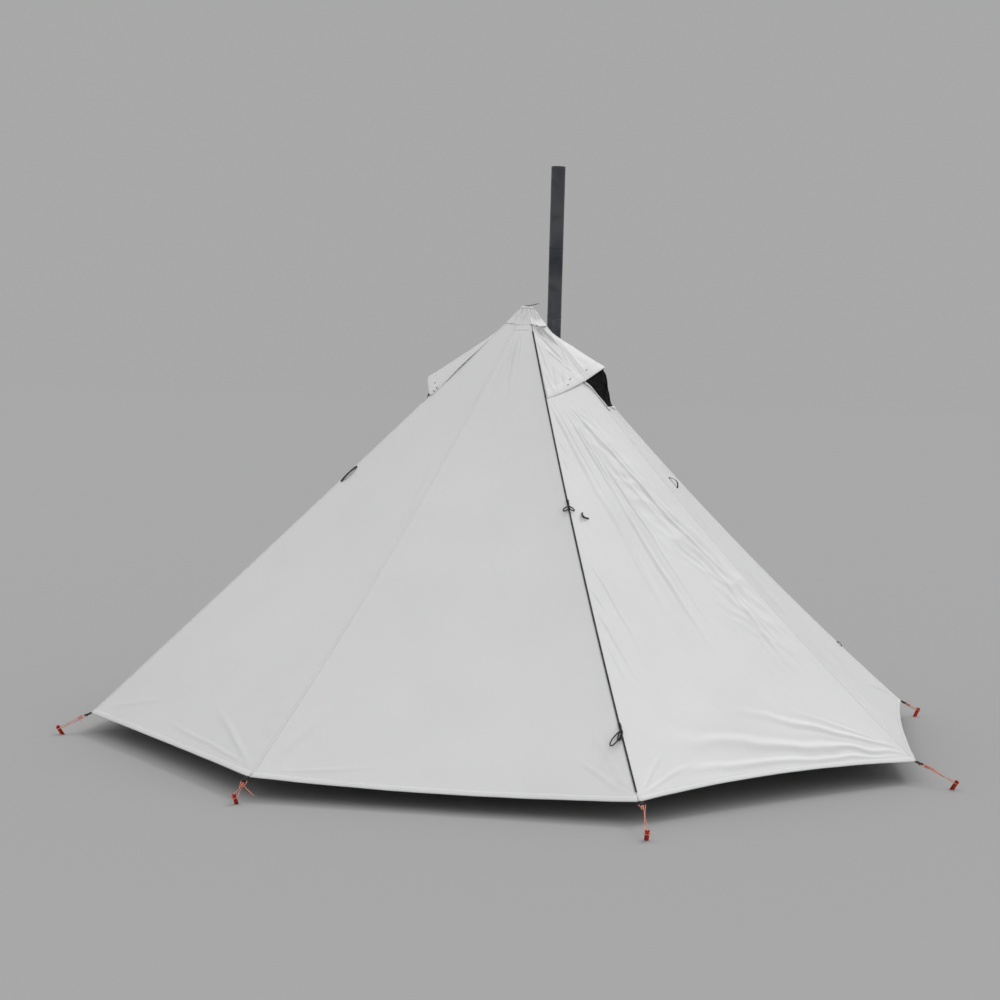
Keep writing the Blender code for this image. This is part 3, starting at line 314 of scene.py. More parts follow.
def net_finish():
    """Fine black mesh with a faint glint on its threads, and painted shade in the gaps between
    them.
    """
    made = Finish("vent_netting", (0.006, 0.006, 0.0065), 0.65, Specular_IOR_Level=0.08)
    weave = made.math("MAXIMUM", *[made.thread(axis, 0.0008, 0.0004) for axis in (0, 1)])
    # Painted shade: the gaps between the threads are darker than the threads, for the shaded inside
    # seen through the holes.
    tone = made.mix(weave, (0.0015, 0.0015, 0.0015, 1.0), (0.009, 0.0092, 0.0095, 1.0))
    made.put("Base Color", tone)
    made.bump(weave, 0.0005)
    made.bump(made.noise(24.0, 4.0), 0.004, 0.6)
    return made.material


def flue_finish():
    """Blued rolled steel: heat tints in soft bands, darker streaks and fine rolling marks."""
    made = Finish("flue_steel", (0.07, 0.075, 0.08), 0.36, 0.7)
    heat = made.span(made.noise(3.0, 4.0, (1.0, 1.0, 1.6)), 0.35, 0.6, 0.0, 1.0)
    blue = made.mix(heat, (0.042, 0.05, 0.064, 1.0), (0.1, 0.106, 0.114, 1.0))
    patch = made.span(made.noise(5.5, 3.0, (1.0, 1.0, 2.0)), 0.52, 0.68, 0.0, 0.75)
    made.put("Base Color", made.mix(patch, blue, (0.055, 0.042, 0.044, 1.0)))
    made.put("Roughness", made.span(made.noise(30.0, 5.0), 0.3, 0.7, 0.28, 0.5))
    made.bump(made.noise(14.0), 0.002, 0.35)
    made.bump(made.noise(160.0, 4.0, (1.0, 1.0, 0.05)), 0.0002, 0.5)
    return made.material


# Meshes

def dress(item, slot, *nodes, body="tent"):
    """Puts a piece on its body and hides the nodes that it stands for. Its slot is not used."""
    if body:
        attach(item, body)
    if nodes:
        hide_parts(*nodes)
    return item


def pair(first, second):
    return np.stack(np.broadcast_arrays(first, second), axis=-1)


def mesh_piece(name, points, faces, material, uvs, smooth=True):
    """A new object from points, faces and one UV for each point."""
    mesh = bpy.data.meshes.new(name)
    mesh.from_pydata([tuple(p) for p in points], [], [tuple(f) for f in faces])
    if uvs is not None:
        layer = mesh.uv_layers.new(name="UVMap")
        index = np.zeros(len(mesh.loops), int)
        mesh.loops.foreach_get("vertex_index", index)
        layer.data.foreach_set("uv", np.asarray(uvs, float)[index].ravel())
    mesh.polygons.foreach_set("use_smooth", [smooth] * len(mesh.polygons))
    mesh.materials.append(material)
    mesh.validate()
    made = bpy.data.objects.new(name, mesh)
    bpy.context.scene.collection.objects.link(made)
    return made


def grid_faces(rows, columns, ring=False, loop=False):
    """Faces of a grid of points. ring joins its last column to its first, loop its rows."""
    cells = (rows if loop else rows - 1, columns if ring else columns - 1)
    row, column = np.indices(cells).reshape(2, -1)
    below, beside = (row + 1) % rows * columns, (column + 1) % columns
    row = row * columns
    return np.stack((row + column, below + column, below + beside, row + beside), axis=-1)


def thicken(item, thickness=CLOTH):
    shell = item.modifiers.new("Thickness", "SOLIDIFY")
    shell.thickness = thickness
    shell.offset = 0.0
    return item


def grid_piece(name, points, material, uvs, thickness=CLOTH):
    """A cloth piece from points and UVs by row and column."""
    points = np.asarray(points)
    faces = grid_faces(*points.shape[:2])
    uvs = np.asarray(uvs).reshape(-1, 2)
    return thicken(mesh_piece(name, points.reshape(-1, 3), faces, material, uvs), thickness)


def tube(name, path, radius, material, sides=12, closed=False):
    """A round cord along a path. radius is one number or one for each point."""
    path = [Vector(p) for p in path]
    count = len(path)
    radii = [radius] * count if isinstance(radius, float) else radius
    behind = [path[-1 if closed else 0]] + path[:-1]
    ahead = path[1:] + [path[0 if closed else -1]]
    tangents = [(after - before).normalized() for before, after in zip(behind, ahead)]
    side = tangents[0].orthogonal().normalized()
    points, uvs, along = [], [], 0.0
    for n in range(count):
        if n:
            along += (path[n] - path[n - 1]).length
        side = (side - tangents[n] * side.dot(tangents[n])).normalized()
        up = tangents[n].cross(side)
        for k in range(sides):
            turn = TURN * k / sides
            points.append(path[n] + (side * math.cos(turn) + up * math.sin(turn)) * radii[n])
            uvs.append((along, k / sides))
    faces = grid_faces(count, sides, True, closed)[:, [0, 3, 2, 1]].tolist()
    if not closed:
        faces.append(list(range(sides))[::-1])
        faces.append([(count - 1) * sides + k for k in range(sides)])
    return mesh_piece(name, points, faces, material, uvs)


def turned(name, outline, centre, material, sides=72):
    """A closed shape turned about a vertical axis from (radius, height) points."""
    points, uvs = [], []
    for k in range(sides + 1):
        turn = TURN * k / sides
        for radius, height in outline:
            place = Vector((radius * math.cos(turn), radius * math.sin(turn), height))
            points.append(centre + place)
            uvs.append((height, turn * radius))
    faces = grid_faces(sides + 1, len(outline), True)[:, [0, 3, 2, 1]]
    made = mesh_piece(name, points, faces, material, uvs)
    made.modifiers.new("Weld", "WELD").merge_threshold = 0.00002
    return made


def weld(item, distance):
    """Joins a mesh's matching points, so that one sheet runs on across a seam."""
    bm = bmesh.new()
    bm.from_mesh(item.data)
    bmesh.ops.remove_doubles(bm, verts=bm.verts, dist=distance)
    loose = [v for v in bm.verts if not v.link_faces]
    bmesh.ops.delete(bm, geom=loose, context="VERTS")
    bm.to_mesh(item.data)
    bm.free()


def joined(name, items):
    """Several pieces as one object."""
    bpy.ops.object.select_all(action="DESELECT")
    for item in items:
        item.select_set(True)
    bpy.context.view_layer.objects.active = items[0]
    bpy.ops.object.join()
    items[0].name = name
    return items[0]


# Canopy surface

def ridge(number, share):
    share = np.asarray(share, float)
    sag = 4.0 * SAG * RIDGE_SAG[number % PANELS] * share * (1.0 - share)
    radius = PEAK_RADIUS + (RADIUS - PEAK_RADIUS) * share - sag * SLOPE_DOWN
    height = TOP - (TOP - HEM_HEIGHT) * share - sag * SLOPE_OUT
    turn = math.radians(FIRST_RIDGE + number * 360.0 / PANELS)
    return np.stack((radius * math.cos(turn), radius * math.sin(turn), height), axis=-1)


def gore_width(share):
    return 2.0 * HALF_GORE * np.hypot(ridge(0, share)[..., 0], ridge(0, share)[..., 1])


def outward(panel, share):
    first, second = ridge(panel, share), ridge(panel + 1, share)
    lower = ridge(panel, share + 0.0001)
    out = np.cross(lower - first, second - first)
    return out / np.linalg.norm(out, axis=-1, keepdims=True)


CELLS = 64
RANDOM = np.random.RandomState(7).uniform(-1.0, 1.0, (CELLS, CELLS))


def soft_noise(x, y, layer=0):
    """Smooth noise from -1 to 1 that repeats every CELLS units."""
    x, y = x + 17.0 * layer, y + 29.0 * layer
    i, j = np.floor(x).astype(int), np.floor(y).astype(int)
    a, b = x - i, y - j
    a, b = a * a * (3.0 - 2.0 * a), b * b * (3.0 - 2.0 * b)
    top, low = [
        RANDOM[i % CELLS, row % CELLS] * (1.0 - a) + RANDOM[(i + 1) % CELLS, row % CELLS] * a
        for row in (j, j + 1)]
    return top * (1.0 - b) + low * b


def ease(value, low, high):
    t = np.clip((value - low) / (high - low), 0.0, 1.0)
    return t * t * (3.0 - 2.0 * t)


# Folds, by gore: across and down at each end, half width at each end, height
FOLDS = {
    0: [
        (0.04, 0.2, 0.33, 0.45, 0.008, 0.024, 0.004), (0.33, 0.4, 0.4, 0.66, 0.02, 0.03, 0.004),
        (0.31, 0.24, 0.466, 0.43, 0.006, 0.012, 0.004),
        (0.46, 0.4, 0.53, 0.74, 0.012, 0.018, 0.004),
        (0.14, 0.21, 0.4, 0.5, 0.004, 0.008, 0.002), (0.38, 0.25, 0.5, 0.45, 0.004, 0.008, 0.002),
        (0.46, 0.3, 0.587, 0.535, 0.004, 0.008, 0.003),
        (0.57, 0.5, 0.59, 0.75, 0.006, 0.009, 0.002),
        (0.4, 0.22, 0.609, 0.302, 0.008, 0.01, 0.003), (0.6, 0.29, 0.76, 0.41, 0.01, 0.013, 0.004),
        (0.73, 0.38, 0.82, 0.51, 0.013, 0.016, 0.004), (0.79, 0.46, 0.9, 0.59, 0.013, 0.014, 0.004),
        (0.86, 0.56, 0.84, 0.78, 0.013, 0.016, 0.003), (0.7, 0.36, 0.78, 0.47, 0.01, 0.011, -0.003),
        (0.02, 0.602, 0.075, 0.65, 0.004, 0.008, 0.003),
        (0.06, 0.55, 0.19, 0.73, 0.005, 0.01, 0.003),
        (0.02, 0.64, 0.12, 0.78, 0.004, 0.008, 0.0035),
        (0.015, 0.69, 0.08, 0.8, 0.004, 0.007, 0.003),
        (0.02, 0.32, 0.09, 0.36, 0.004, 0.007, 0.0025),
        (0.02, 0.28, 0.12, 0.33, 0.004, 0.007, 0.0025),
        (0.99, 0.975, 0.5, 0.87, 0.007, 0.034, 0.0042),
        (0.99, 0.985, 0.2, 0.912, 0.01, 0.06, 0.0062),
        (0.98, 0.992, 0.15, 0.965, 0.007, 0.03, 0.0036),
        (0.99, 0.972, 0.7, 0.88, 0.006, 0.014, 0.0015),
        (0.02, 0.985, 0.12, 0.93, 0.006, 0.014, 0.002),
        (0.02, 0.99, 0.22, 0.955, 0.006, 0.016, 0.002),
    ],
    1: [
        (0.02, 0.985, 0.12, 0.78, 0.006, 0.018, 0.006),
        (0.03, 0.985, 0.3, 0.86, 0.006, 0.018, 0.006),
        (0.97, 0.985, 0.86, 0.8, 0.006, 0.02, 0.006), (0.96, 0.985, 0.62, 0.9, 0.006, 0.02, 0.006),
        (0.5, 0.24, 0.45, 0.6, 0.014, 0.02, 0.006), (0.2, 0.24, 0.34, 0.5, 0.01, 0.014, 0.005),
    ],
    6: [
        (0.97, 0.985, 0.63, 0.915, 0.008, 0.022, 0.006),
        (0.98, 0.985, 0.42, 0.965, 0.006, 0.014, 0.004),
        (0.03, 0.985, 0.3, 0.93, 0.006, 0.02, 0.004), (0.97, 0.97, 0.88, 0.8, 0.006, 0.014, 0.004),
        (0.94, 0.35, 0.96, 0.6, 0.02, 0.03, 0.004),
    ],
    7: [
        (0.01, 0.03, 0.35, 0.15, 0.004, 0.012, 0.004), (0.3, 0.06, 0.4, 0.21, 0.005, 0.013, -0.005),
        (0.1, 0.07, 0.24, 0.22, 0.005, 0.012, 0.004), (0.5, 0.05, 0.56, 0.14, 0.005, 0.01, 0.004),
        (0.03, 0.985, 0.11, 0.86, 0.008, 0.018, 0.006),
        (0.05, 0.985, 0.3, 0.965, 0.006, 0.014, 0.003),
        (0.97, 0.985, 0.86, 0.93, 0.006, 0.014, 0.004),
        (0.98, 0.985, 0.92, 0.88, 0.006, 0.012, 0.004),
        (0.05, 0.3, 0.03, 0.6, 0.016, 0.03, 0.004),
    ],
}
# Folds of the other gores
PLAIN_FOLDS = [
    (0.03, 0.985, 0.14, 0.83, 0.006, 0.02, 0.005), (0.04, 0.985, 0.34, 0.93, 0.006, 0.022, 0.006),
    (0.97, 0.985, 0.84, 0.84, 0.006, 0.02, 0.005), (0.96, 0.985, 0.7, 0.94, 0.006, 0.022, 0.006),
    (0.4, 0.06, 0.36, 0.3, 0.006, 0.016, 0.004), (0.7, 0.06, 0.66, 0.26, 0.006, 0.014, 0.004),
]
# By gore: how far its band of crumpled cloth stands out, and its folds' share of their heights
CRUMPLE = {0: 1.0, 1: 0.6}
FOLD_GAIN = {6: 0.7, 7: 0.7}


def creases(x, y):
    """Sharp-edged facets, as in crumpled cloth: distance to the nearest of scattered points."""
    x, y = x + 0.4 * soft_noise(x * 1.3, y * 1.3, 13), y + 0.4 * soft_noise(x * 1.3, y * 1.3, 14)
    i, j = np.floor(x).astype(int), np.floor(y).astype(int)
    nearest = np.full(x.shape, 9.0)
    for di in (-1, 0, 1):
        for dj in (-1, 0, 1):
            a, b = (i + di) % CELLS, (j + dj) % CELLS
            px = i + di + 0.5 + 0.45 * RANDOM[a, b]
            py = j + dj + 0.5 + 0.45 * RANDOM[b, (a + 7) % CELLS]
            nearest = np.minimum(nearest, np.hypot(x - px, y - py))
    return nearest


def fold_heights(x, y, lines, seed):
    """Height of soft folds that run along lines on a flat cloth."""
    total = 0.0
    for x0, y0, x1, y1, thin, wide, height in lines:
        length = math.hypot(x1 - x0, y1 - y0)
        t = ((x - x0) * (x1 - x0) + (y - y0) * (y1 - y0)) / length ** 2
        away = ((x - x0) * (y1 - y0) - (y - y0) * (x1 - x0)) / length
        away = away + 0.3 * wide * soft_noise(y * 9.0, x * 9.0, seed)
        width = thin + (wide - thin) * np.clip(t, 0.0, 1.0)
        shape = (1.0 - 1.1 * (away / width) ** 2) * np.exp(-((away / width) ** 2))
        total = total + height * shape * ease(t, -0.08, 0.25) * (1.0 - ease(t, 0.55, 1.15))
    return total


def wrinkles(panel, across, share):
    """How far a gore's cloth stands out from its flat pattern."""
    x, y = (across - 0.5) * gore_width(share), share * SLOPE
    below = np.clip((share - 0.3) / 0.7, 0.0, 1.0)
    wave = np.sin(2.0 * np.pi * (2.5 * across + 1.3 * share))
    side = np.sin(np.pi * np.clip(across, 0.0, 1.0))
    depth = FOLD_DEPTH * FOLD_SHARES[panel] * wave
    total = depth * side ** 2 * np.sin(np.pi * below) * (share > 0.3)
    total = total - 0.006 * side * ease(share, 0.1, 0.4)
    lines = []
    for a0, s0, a1, s1, thin, wide, height in FOLDS.get(panel, PLAIN_FOLDS):
        start = ((a0 - 0.5) * gore_width(s0), s0 * SLOPE)
        end = ((a1 - 0.5) * gore_width(s1), s1 * SLOPE)
        lines.append((*start, *end, thin, wide, height * FOLD_GAIN.get(panel, 1.0)))
    total = total + fold_heights(x, y, lines, panel + 3)
    if panel in CRUMPLE:
        middle = 0.5 + 1.02 * np.clip(share - 0.24, 0.0, 0.36)
        drop = np.exp(-(((across - middle) * gore_width(share) / (0.05 + 0.1 * share)) ** 2))
        band = drop * ease(share, 0.2, 0.3) * (1.0 - ease(share, 0.6, 0.85))
        along, beside = 0.352 * x + 0.936 * y, 0.936 * x - 0.352 * y
        total = total + CRUMPLE[panel] * 0.0085 * band * (creases(along * 6.5, beside * 19.0) - 0.4)
    total = total + 0.0012 * soft_noise(x * 9.0, y * 5.0, 4)
    total = total + 0.0003 * soft_noise(x * 40.0, y * 16.0, 5)
    seam = np.minimum(across, 1.0 - across) * gore_width(share)
    return total * ease(seam, 0.004, 0.05)


def cloth(panel, across, share, lift=0.0):
    """Points on a gore: across from its first ridge to its second, share from peak to hem."""
    panel = panel % PANELS
    across, share = np.broadcast_arrays(np.asarray(across, float), np.asarray(share, float))
    near_hem = np.clip((share - HEM_CURVE) / (1.0 - HEM_CURVE), 0.0, None)
    reach = share - HEM_RISE[panel] * 4.0 * across * (1.0 - across) * near_hem
    first, second = ridge(panel, reach), ridge(panel + 1, reach)
    height = np.asarray(wrinkles(panel, across, share) + lift + FABRIC / 2.0)
    return first + (second - first) * across[..., None] + outward(panel, reach) * height[..., None]


def ridge_out(number, share, lift):
    """A point off a seam, square to both gores."""
    out = outward(number - 1, share) + outward(number, share)
    out = out / np.linalg.norm(out, axis=-1, keepdims=True)
    return ridge(number, share) + out * np.asarray(lift)[..., None]


make_camera()
scene = bpy.context.scene
scene.view_settings.view_transform = "Standard"

GREY = (0.59, 0.595, 0.592)
canopy_cloth = cloth_finish("canopy_cloth", GREY)
seam_cloth = cloth_finish("seam_cloth", GREY, 0.0042)
brim_cloth = cloth_finish("brim_cloth", GREY, 0.0175)
black_webbing = webbing_finish("black_webbing", (0.02, 0.02, 0.021))
guy_cord = cord_finish("guy_cord", (0.68, 0.12, 0.05), (0.85, 0.62, 0.52), 0.3)
peak_cord = cord_finish("peak_cord", (0.02, 0.02, 0.02), (0.7, 0.7, 0.7), 0.25)


# Cords: the same routes as their solids

ROUTE_PARTS = 24
KNOT_STEPS = 12


def smooth_route(points, step):
    """Evenly spaced points on a smooth curve through a route's own points."""
    dense, last = [], len(points) - 1
    for n in range(last):
        start, end = points[n], points[n + 1]
        before, after = points[max(n - 1, 0)], points[min(n + 2, last)]
        for part in range(ROUTE_PARTS):
            t = part / ROUTE_PARTS
            cubic = (3.0 * start - before - 3.0 * end + after) * t ** 3
            square = (2.0 * before - 5.0 * start + 4.0 * end - after) * t * t
            dense.append(0.5 * (2.0 * start + (end - before) * t + square + cubic))
    dense.append(points[last])
    total = sum((b - a).length for a, b in zip(dense, dense[1:]))
    count = max(2, round(total / step))
    spaced, travelled, target = [dense[0]], 0.0, total / count
    for a, b in zip(dense, dense[1:]):
        length = (b - a).length
        while length > 0.0 and travelled + length >= target * len(spaced) and len(spaced) < count:
            spaced.append(a.lerp(b, (target * len(spaced) - travelled) / length))
        travelled += length
    spaced.append(dense[-1])
    return spaced


def corner_point(corner):
    point = Vector(ridge(corner, 1.0))
    beside = {0: 1, DOOR: -1}.get(corner, 0)
    if beside:
        hem = (Vector(ridge(corner + beside, 1.0)) - point).normalized()
        out = point.to_2d().normalized().to_3d()
        square = TAB_WIDTH / 2.0 * math.tan(math.pi / PANELS)
        point += hem * (TAB_WIDTH / 2.0 + WEB) + out * (square + 1.6 * FABRIC)
    return point


def peg_place(corner):
    turn = math.radians(FIRST_RIDGE + corner * 360.0 / PANELS + PEG_SWING[corner])
    reach = RADIUS * (1.0 + PEG_REACH[corner])
    entry = Vector((reach * math.cos(turn), reach * math.sin(turn), 0.0))
    away = (entry - corner_point(corner)).to_2d().normalized().to_3d()
    lean = math.radians(PEG_LEAN)
    up = (Vector((0.0, 0.0, 1.0)) * math.cos(lean) + away * math.sin(lean)).normalized()
    side = up.cross(away).normalized()
    return axes_at(entry, side.cross(up), side, up)


def notch_point(corner):
    return peg_place(corner) @ Vector((0.0, 0.0, PEG_SHOWN - PEG_NOTCH))


def corner_place(corner):
    """A corner's webbing: X along the guyline's pull, Z up from it."""
    start = corner_point(corner)
    along = (notch_point(corner) - start).normalized()
    side = Vector((0.0, 0.0, 1.0)).cross(along).normalized()
    return axes_at(start, along, side, along.cross(side))


def guyline_route(corner):
    place = corner_place(corner)
    eye = TAB_LENGTH - EYE_RADIUS - WEB
    span = (notch_point(corner) - corner_point(corner)).length
    straight = TAB_WIDTH / 2.0 - CORD / 2.0
    wide = straight + CORD_BEND
    peg = PEG_VANE + CORD / 2.0 + PEG_ROOM
    peg_up = peg_place(corner).to_3x3().col[2]
    behind = PEG_VANE / peg_up.dot(place.to_3x3().col[2]) + CORD / 2.0 + PEG_ROOM
    knot = eye + KNOT_REACH * min(1.0, span / (4.0 * KNOT_REACH))
    tail = TAIL * TAIL_SHARES[corner]
    rise = CORD * 1.3
    bend = CORD_BEND * (1.0 - math.sqrt(0.5))
    points = []
    if tail > 0.0:
        points.append((knot + tail * 0.45, CORD_SPREAD * 3.0 + tail * 0.7, -tail * 0.3))
        points.append((knot + tail * 0.2, CORD_SPREAD * 2.0 + tail * 0.25, -tail * 0.05))
    points += [
        (knot, CORD_SPREAD, rise),
        (knot + (span - knot) * 0.5, -CORD_SPREAD * 0.2, rise * 0.6),
        (span - PEG_VANE, -peg * 0.92, 0.0),
        (span, -peg, 0.0),
        (span + behind * 0.75, -peg * 0.75, 0.0),
        (span + behind, 0.0, 0.0),
        (span + behind * 0.75, peg * 0.75, 0.0),
        (span, peg, 0.0),
        (span - PEG_VANE, peg * 0.92, -CORD * 0.3),
        (knot + (span - knot) * 0.35, CORD_SPREAD, -rise),
        (eye + CORD_BEND, wide, -CORD * 0.2),
        (eye + bend, wide - bend, 0.0),
        (eye, straight, 0.0),
        (eye, 0.0, 0.0),
        (eye, -straight, 0.0),
        (eye + bend, -wide + bend, 0.0),
        (eye + CORD_BEND, -wide, CORD * 0.2),
        (knot, -CORD_SPREAD, rise * 0.5),
    ]
    return [place @ Vector(point) for point in points]


def wrapped_knot(name, centre, along, radius, cord, material, turns=3):
    """A knot's few tight turns of cord about a point."""
    along = along.normalized()
    side = along.orthogonal().normalized()
    up = along.cross(side)
    path = []
    for n in range(turns * KNOT_STEPS + 1):
        turn = TURN * n / KNOT_STEPS
        reach = radius * (1.0 - 0.12 * math.cos(turn * 0.5))
        slide = (n / (turns * KNOT_STEPS) - 0.5) * cord * 1.9 * turns
        path.append(centre + along * slide + (side * math.cos(turn) + up * math.sin(turn)) * reach)
    return tube(name, path, cord / 2.0, material, 10)


def make_guylines():
    for corner in range(PANELS):
        path = smooth_route(guyline_route(corner), CORD_STEP)[::-1]
        name = "guyline_%d" % (corner + 1)
        cord = dress(tube("cord_" + name, path, CORD / 2.0, guy_cord), "guy_cord", name)
        axes = corner_place(corner).to_3x3().col
        along, centre = axes[0], path[0] + axes[1] * CORD_SPREAD
        knot = wrapped_knot("knot_" + name, centre, along, 0.0052, CORD, guy_cord, 4)
        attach(knot, "tent")


def make_peak_cord():
    foot = POLE_TOP + GAP + 0.002 + GAP + LOOP_CORD / 2.0
    route = (
        (-LOOP_CORD, 0.0, foot),
        (LOOP_REACH * 0.35, LOOP_CORD * 1.1, foot + LOOP_RISE * 0.5),
        (LOOP_REACH * 0.8, LOOP_CORD * 1.4, foot + LOOP_RISE),
        (LOOP_REACH, 0.0, foot + LOOP_RISE * 1.2),
        (LOOP_REACH * 0.8, -LOOP_CORD * 1.4, foot + LOOP_RISE),
        (LOOP_REACH * 0.35, -LOOP_CORD * 1.1, foot + LOOP_RISE * 0.5),
        (LOOP_CORD * 1.5, -LOOP_CORD * 1.3, foot + LOOP_CORD * 0.1),
    )
    path = smooth_route([Vector(point) for point in route], LOOP_CORD)
    cord = tube("cord_peak", path, LOOP_CORD / 2.0, peak_cord)
    dress(cord, "black_webbing", "peak_cord_loop")
    centre, along = Vector((0.0, 0.0, foot)), Vector((1.0, 0.0, 0.2))
    knot = wrapped_knot("knot_peak", centre, along, 0.005, LOOP_CORD, black_webbing)
    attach(knot, "tent")


make_guylines()
make_peak_cord()


# Canopy

ROWS = 360
FINE_COLUMNS = {0: 190, 7: 96, 1: 72, 6: 56}
PLAIN_COLUMNS = 32
VENT_EDGE = 0.125
NEAR = 1e-6
DOOR_ROOM = 0.0005
JACK_HOLE = 0.045
TENT_WELD = 0.0002
STRIP_ENDS = (0.03, 0.995)
STRIP_HALF = 0.006
STRIP_LIFT = 0.0006


def row_shares(start=0.0):
    """Rows from peak to hem, closer at the vents' and hem's edges."""
    marks = sorted({start, DOOR_START, VENT_TOP, VENT_BOTTOM, 1.0})
    shares = []
    for low, high in zip(marks, marks[1:]):
        count = max(3, round(ROWS * (high - low)))
        shares += [low + (high - low) * n / count for n in range(count)]
    return np.array(shares + [1.0])


def flue_centre():
    turn = math.radians(FLUE_ANGLE)
    return Vector((FLUE_DISTANCE * math.cos(turn), FLUE_DISTANCE * math.sin(turn), 0.0))


def gore_grid(panel, shares, room=0.0):
    """A gore's points and UVs, with some room in metres at its second edge."""
    columns = FINE_COLUMNS.get(panel, PLAIN_COLUMNS)
    across, width = np.arange(columns + 1) / columns, gore_width(shares)[:, None]
    points = cloth(panel, across * (1.0 - room / width), shares[:, None])
    return points, pair(shares[:, None] * SLOPE, (across - 0.5) * width)


def make_canopy():
    """Seven sewn gores as one sheet, and the door gore as its own."""
    rows = row_shares()
    points, faces, uvs, start = [], [], [], 0
    for panel in range(PANELS):
        shares = rows if panel != DOOR else rows[rows <= DOOR_START + NEAR]
        grid, flat = gore_grid(panel, shares)
        keep = np.ones((grid.shape[0] - 1, grid.shape[1] - 1), bool)
        if panel in VENTS:
            inside = (shares[:-1] >= VENT_TOP - NEAR) & (shares[:-1] < VENT_BOTTOM - NEAR)
            middle = (np.arange(keep.shape[1]) + 0.5) / keep.shape[1]
            keep = ~(inside[:, None] & (middle > VENT_EDGE) & (middle < 1.0 - VENT_EDGE))
        if panel == JACK:
            middle = (grid[:-1, :-1] + grid[1:, 1:]) / 2.0 - np.array(flue_centre())
            keep = np.hypot(middle[..., 0], middle[..., 1]) >= FLUE_RADIUS + JACK_HOLE
        faces.append(start + grid_faces(*grid.shape[:2])[keep.reshape(-1)])
        points.append(grid.reshape(-1, 3))
        uvs.append(flat.reshape(-1, 2))
        start += len(points[-1])
    points, faces, uvs = [np.concatenate(parts) for parts in (points, faces, uvs)]
    tent = mesh_piece("canopy", points, faces, canopy_cloth, uvs)
    weld(tent, TENT_WELD)
    dress(thicken(tent), "canopy_cloth", *["panel_" + n for n in (
        "front_right", "right", "back_right", "back", "back_left", "left", "front_left")])
    grid, flat = gore_grid(DOOR, row_shares(DOOR_START), DOOR_ROOM)
    door = grid_piece("door_gore", grid, canopy_cloth, flat)
    return tent, dress(door, "canopy_cloth", "panel_door", body=None)


def hinge_blend(item):
    """Cloth and tape of the door: bakes their place into their mesh points."""
    hinge = Vector(ridge(DOOR, 1.0))
    axis = (Vector(ridge(DOOR, 0.0)) - hinge).normalized()
    into = Vector(ridge(0, 1.0)) - hinge
    into = (into - axis * into.dot(axis)).normalized()
    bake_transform(item)


def ridge_strip(name, number):
    """A seam's sewn strip that laps onto the gores on both sides of a ridge."""
    shares = np.linspace(*STRIP_ENDS, 260)
    offsets = np.array([-1.0, -0.5, 0.0, 0.5, 1.0])
    columns = []
    for offset in offsets:
        across = abs(offset) * STRIP_HALF / gore_width(shares)
        if offset == 0.0:
            lift = np.full_like(shares, (FABRIC / 2.0 + STRIP_LIFT) * 1.08)
            columns.append(ridge_out(number, shares, lift))
        elif offset < 0.0:
            columns.append(cloth(number - 1, 1.0 - across, shares, STRIP_LIFT))
        else:
            columns.append(cloth(number, across, shares, STRIP_LIFT))
    uvs = pair(shares[:, None] * SLOPE, offsets * STRIP_HALF)
    return grid_piece(name, np.stack(columns, axis=1), seam_cloth, uvs, 0.0006)


# The hem's folded band, from its stitched edge round the fold: share, lift and V
HEM_ROWS = (
    (0.9915, 0.001, -0.0095), (0.9945, 0.0014, -0.0042), (0.998, 0.0014, 0.004),
    (1.0008, 0.001, 0.0095), (1.0012, -0.001, 0.012),
)


def hem_strip(name, panel, inset=0.0):
    across = np.linspace(inset, 1.0 - inset, 90)
    shares, lifts, v = zip(*HEM_ROWS)
    rows = [cloth(panel, across, np.full_like(across, s), lift) for s, lift in zip(shares, lifts)]
    uvs = pair((across * float(gore_width(1.0)))[:, None], v)
    return grid_piece(name, np.stack(rows, axis=1), seam_cloth, uvs)


def make_seams():
    seams = [ridge_strip("seam_%d" % number, number) for number in range(1, DOOR)]
    hems = [hem_strip("hem_%d" % panel, panel) for panel in range(DOOR)]
    fixed = [joined("seam_strips", seams), joined("hem_band", hems)]
    moving = [hem_strip("door_hem", DOOR, 0.002), ridge_strip("hinge_seam", DOOR)]
    for item in fixed:
        dress(item, "canopy_cloth")
    for item in moving:
        dress(item, "canopy_cloth", body=None)
    return fixed, moving


tent_sheet, door_sheet = make_canopy()
tent_trim, door_trim = make_seams()


# Vent hoods

def vent_point(panel, across, share, lift):
    """Points across a vent's width, whose ends lap onto the gores beside it."""
    across, share, lift = np.broadcast_arrays(across, share, lift)
    near, left = np.abs(2.0 * across - 1.0), across < 0.5
    inside = 0.5 * np.minimum(near / HOOD_RIDGE, 1.0)
    low, beyond = lap_place(panel, across, share)
    points = cloth(panel, np.where(left, 0.5 - inside, 0.5 + inside), low, lift)
    blend = (1.0 - ease(np.abs(near - HOOD_RIDGE), 0.0, 0.025))[..., None]
    before = cloth(panel - 1, 1.0 - beyond, low, lift)
    after = cloth(panel + 1, beyond, low, lift)
    for side, number, beside in ((left, panel, before), (~left, panel + 1, after)):
        over = ridge_out(number, low, (FABRIC / 2.0 + lift) * 1.1)
        bent = np.where((near > HOOD_RIDGE)[..., None], beside, points)
        points = np.where(side[..., None], bent * (1.0 - blend) + over * blend, points)
    return points


def hood_grown(panel, share):
    return (share - HOOD_START) / (HOODS[panel][0] - HOOD_START)


def lap_place(panel, across, share):
    """A hood point's own share down the tent, and how far it lies past the ridge."""
    cover, drop, far_drop = HOODS[panel][2:5]
    near = np.abs(2.0 * across - 1.0)
    past = np.clip((near - HOOD_RIDGE) / (1.0 - HOOD_RIDGE), 0.0, 1.0)
    rise = drop * np.minimum(near / HOOD_RIDGE, 1.0) ** 1.5 + (far_drop - drop) * past
    return share + rise * np.clip(hood_grown(panel, share), 0.0, 1.0), past * cover


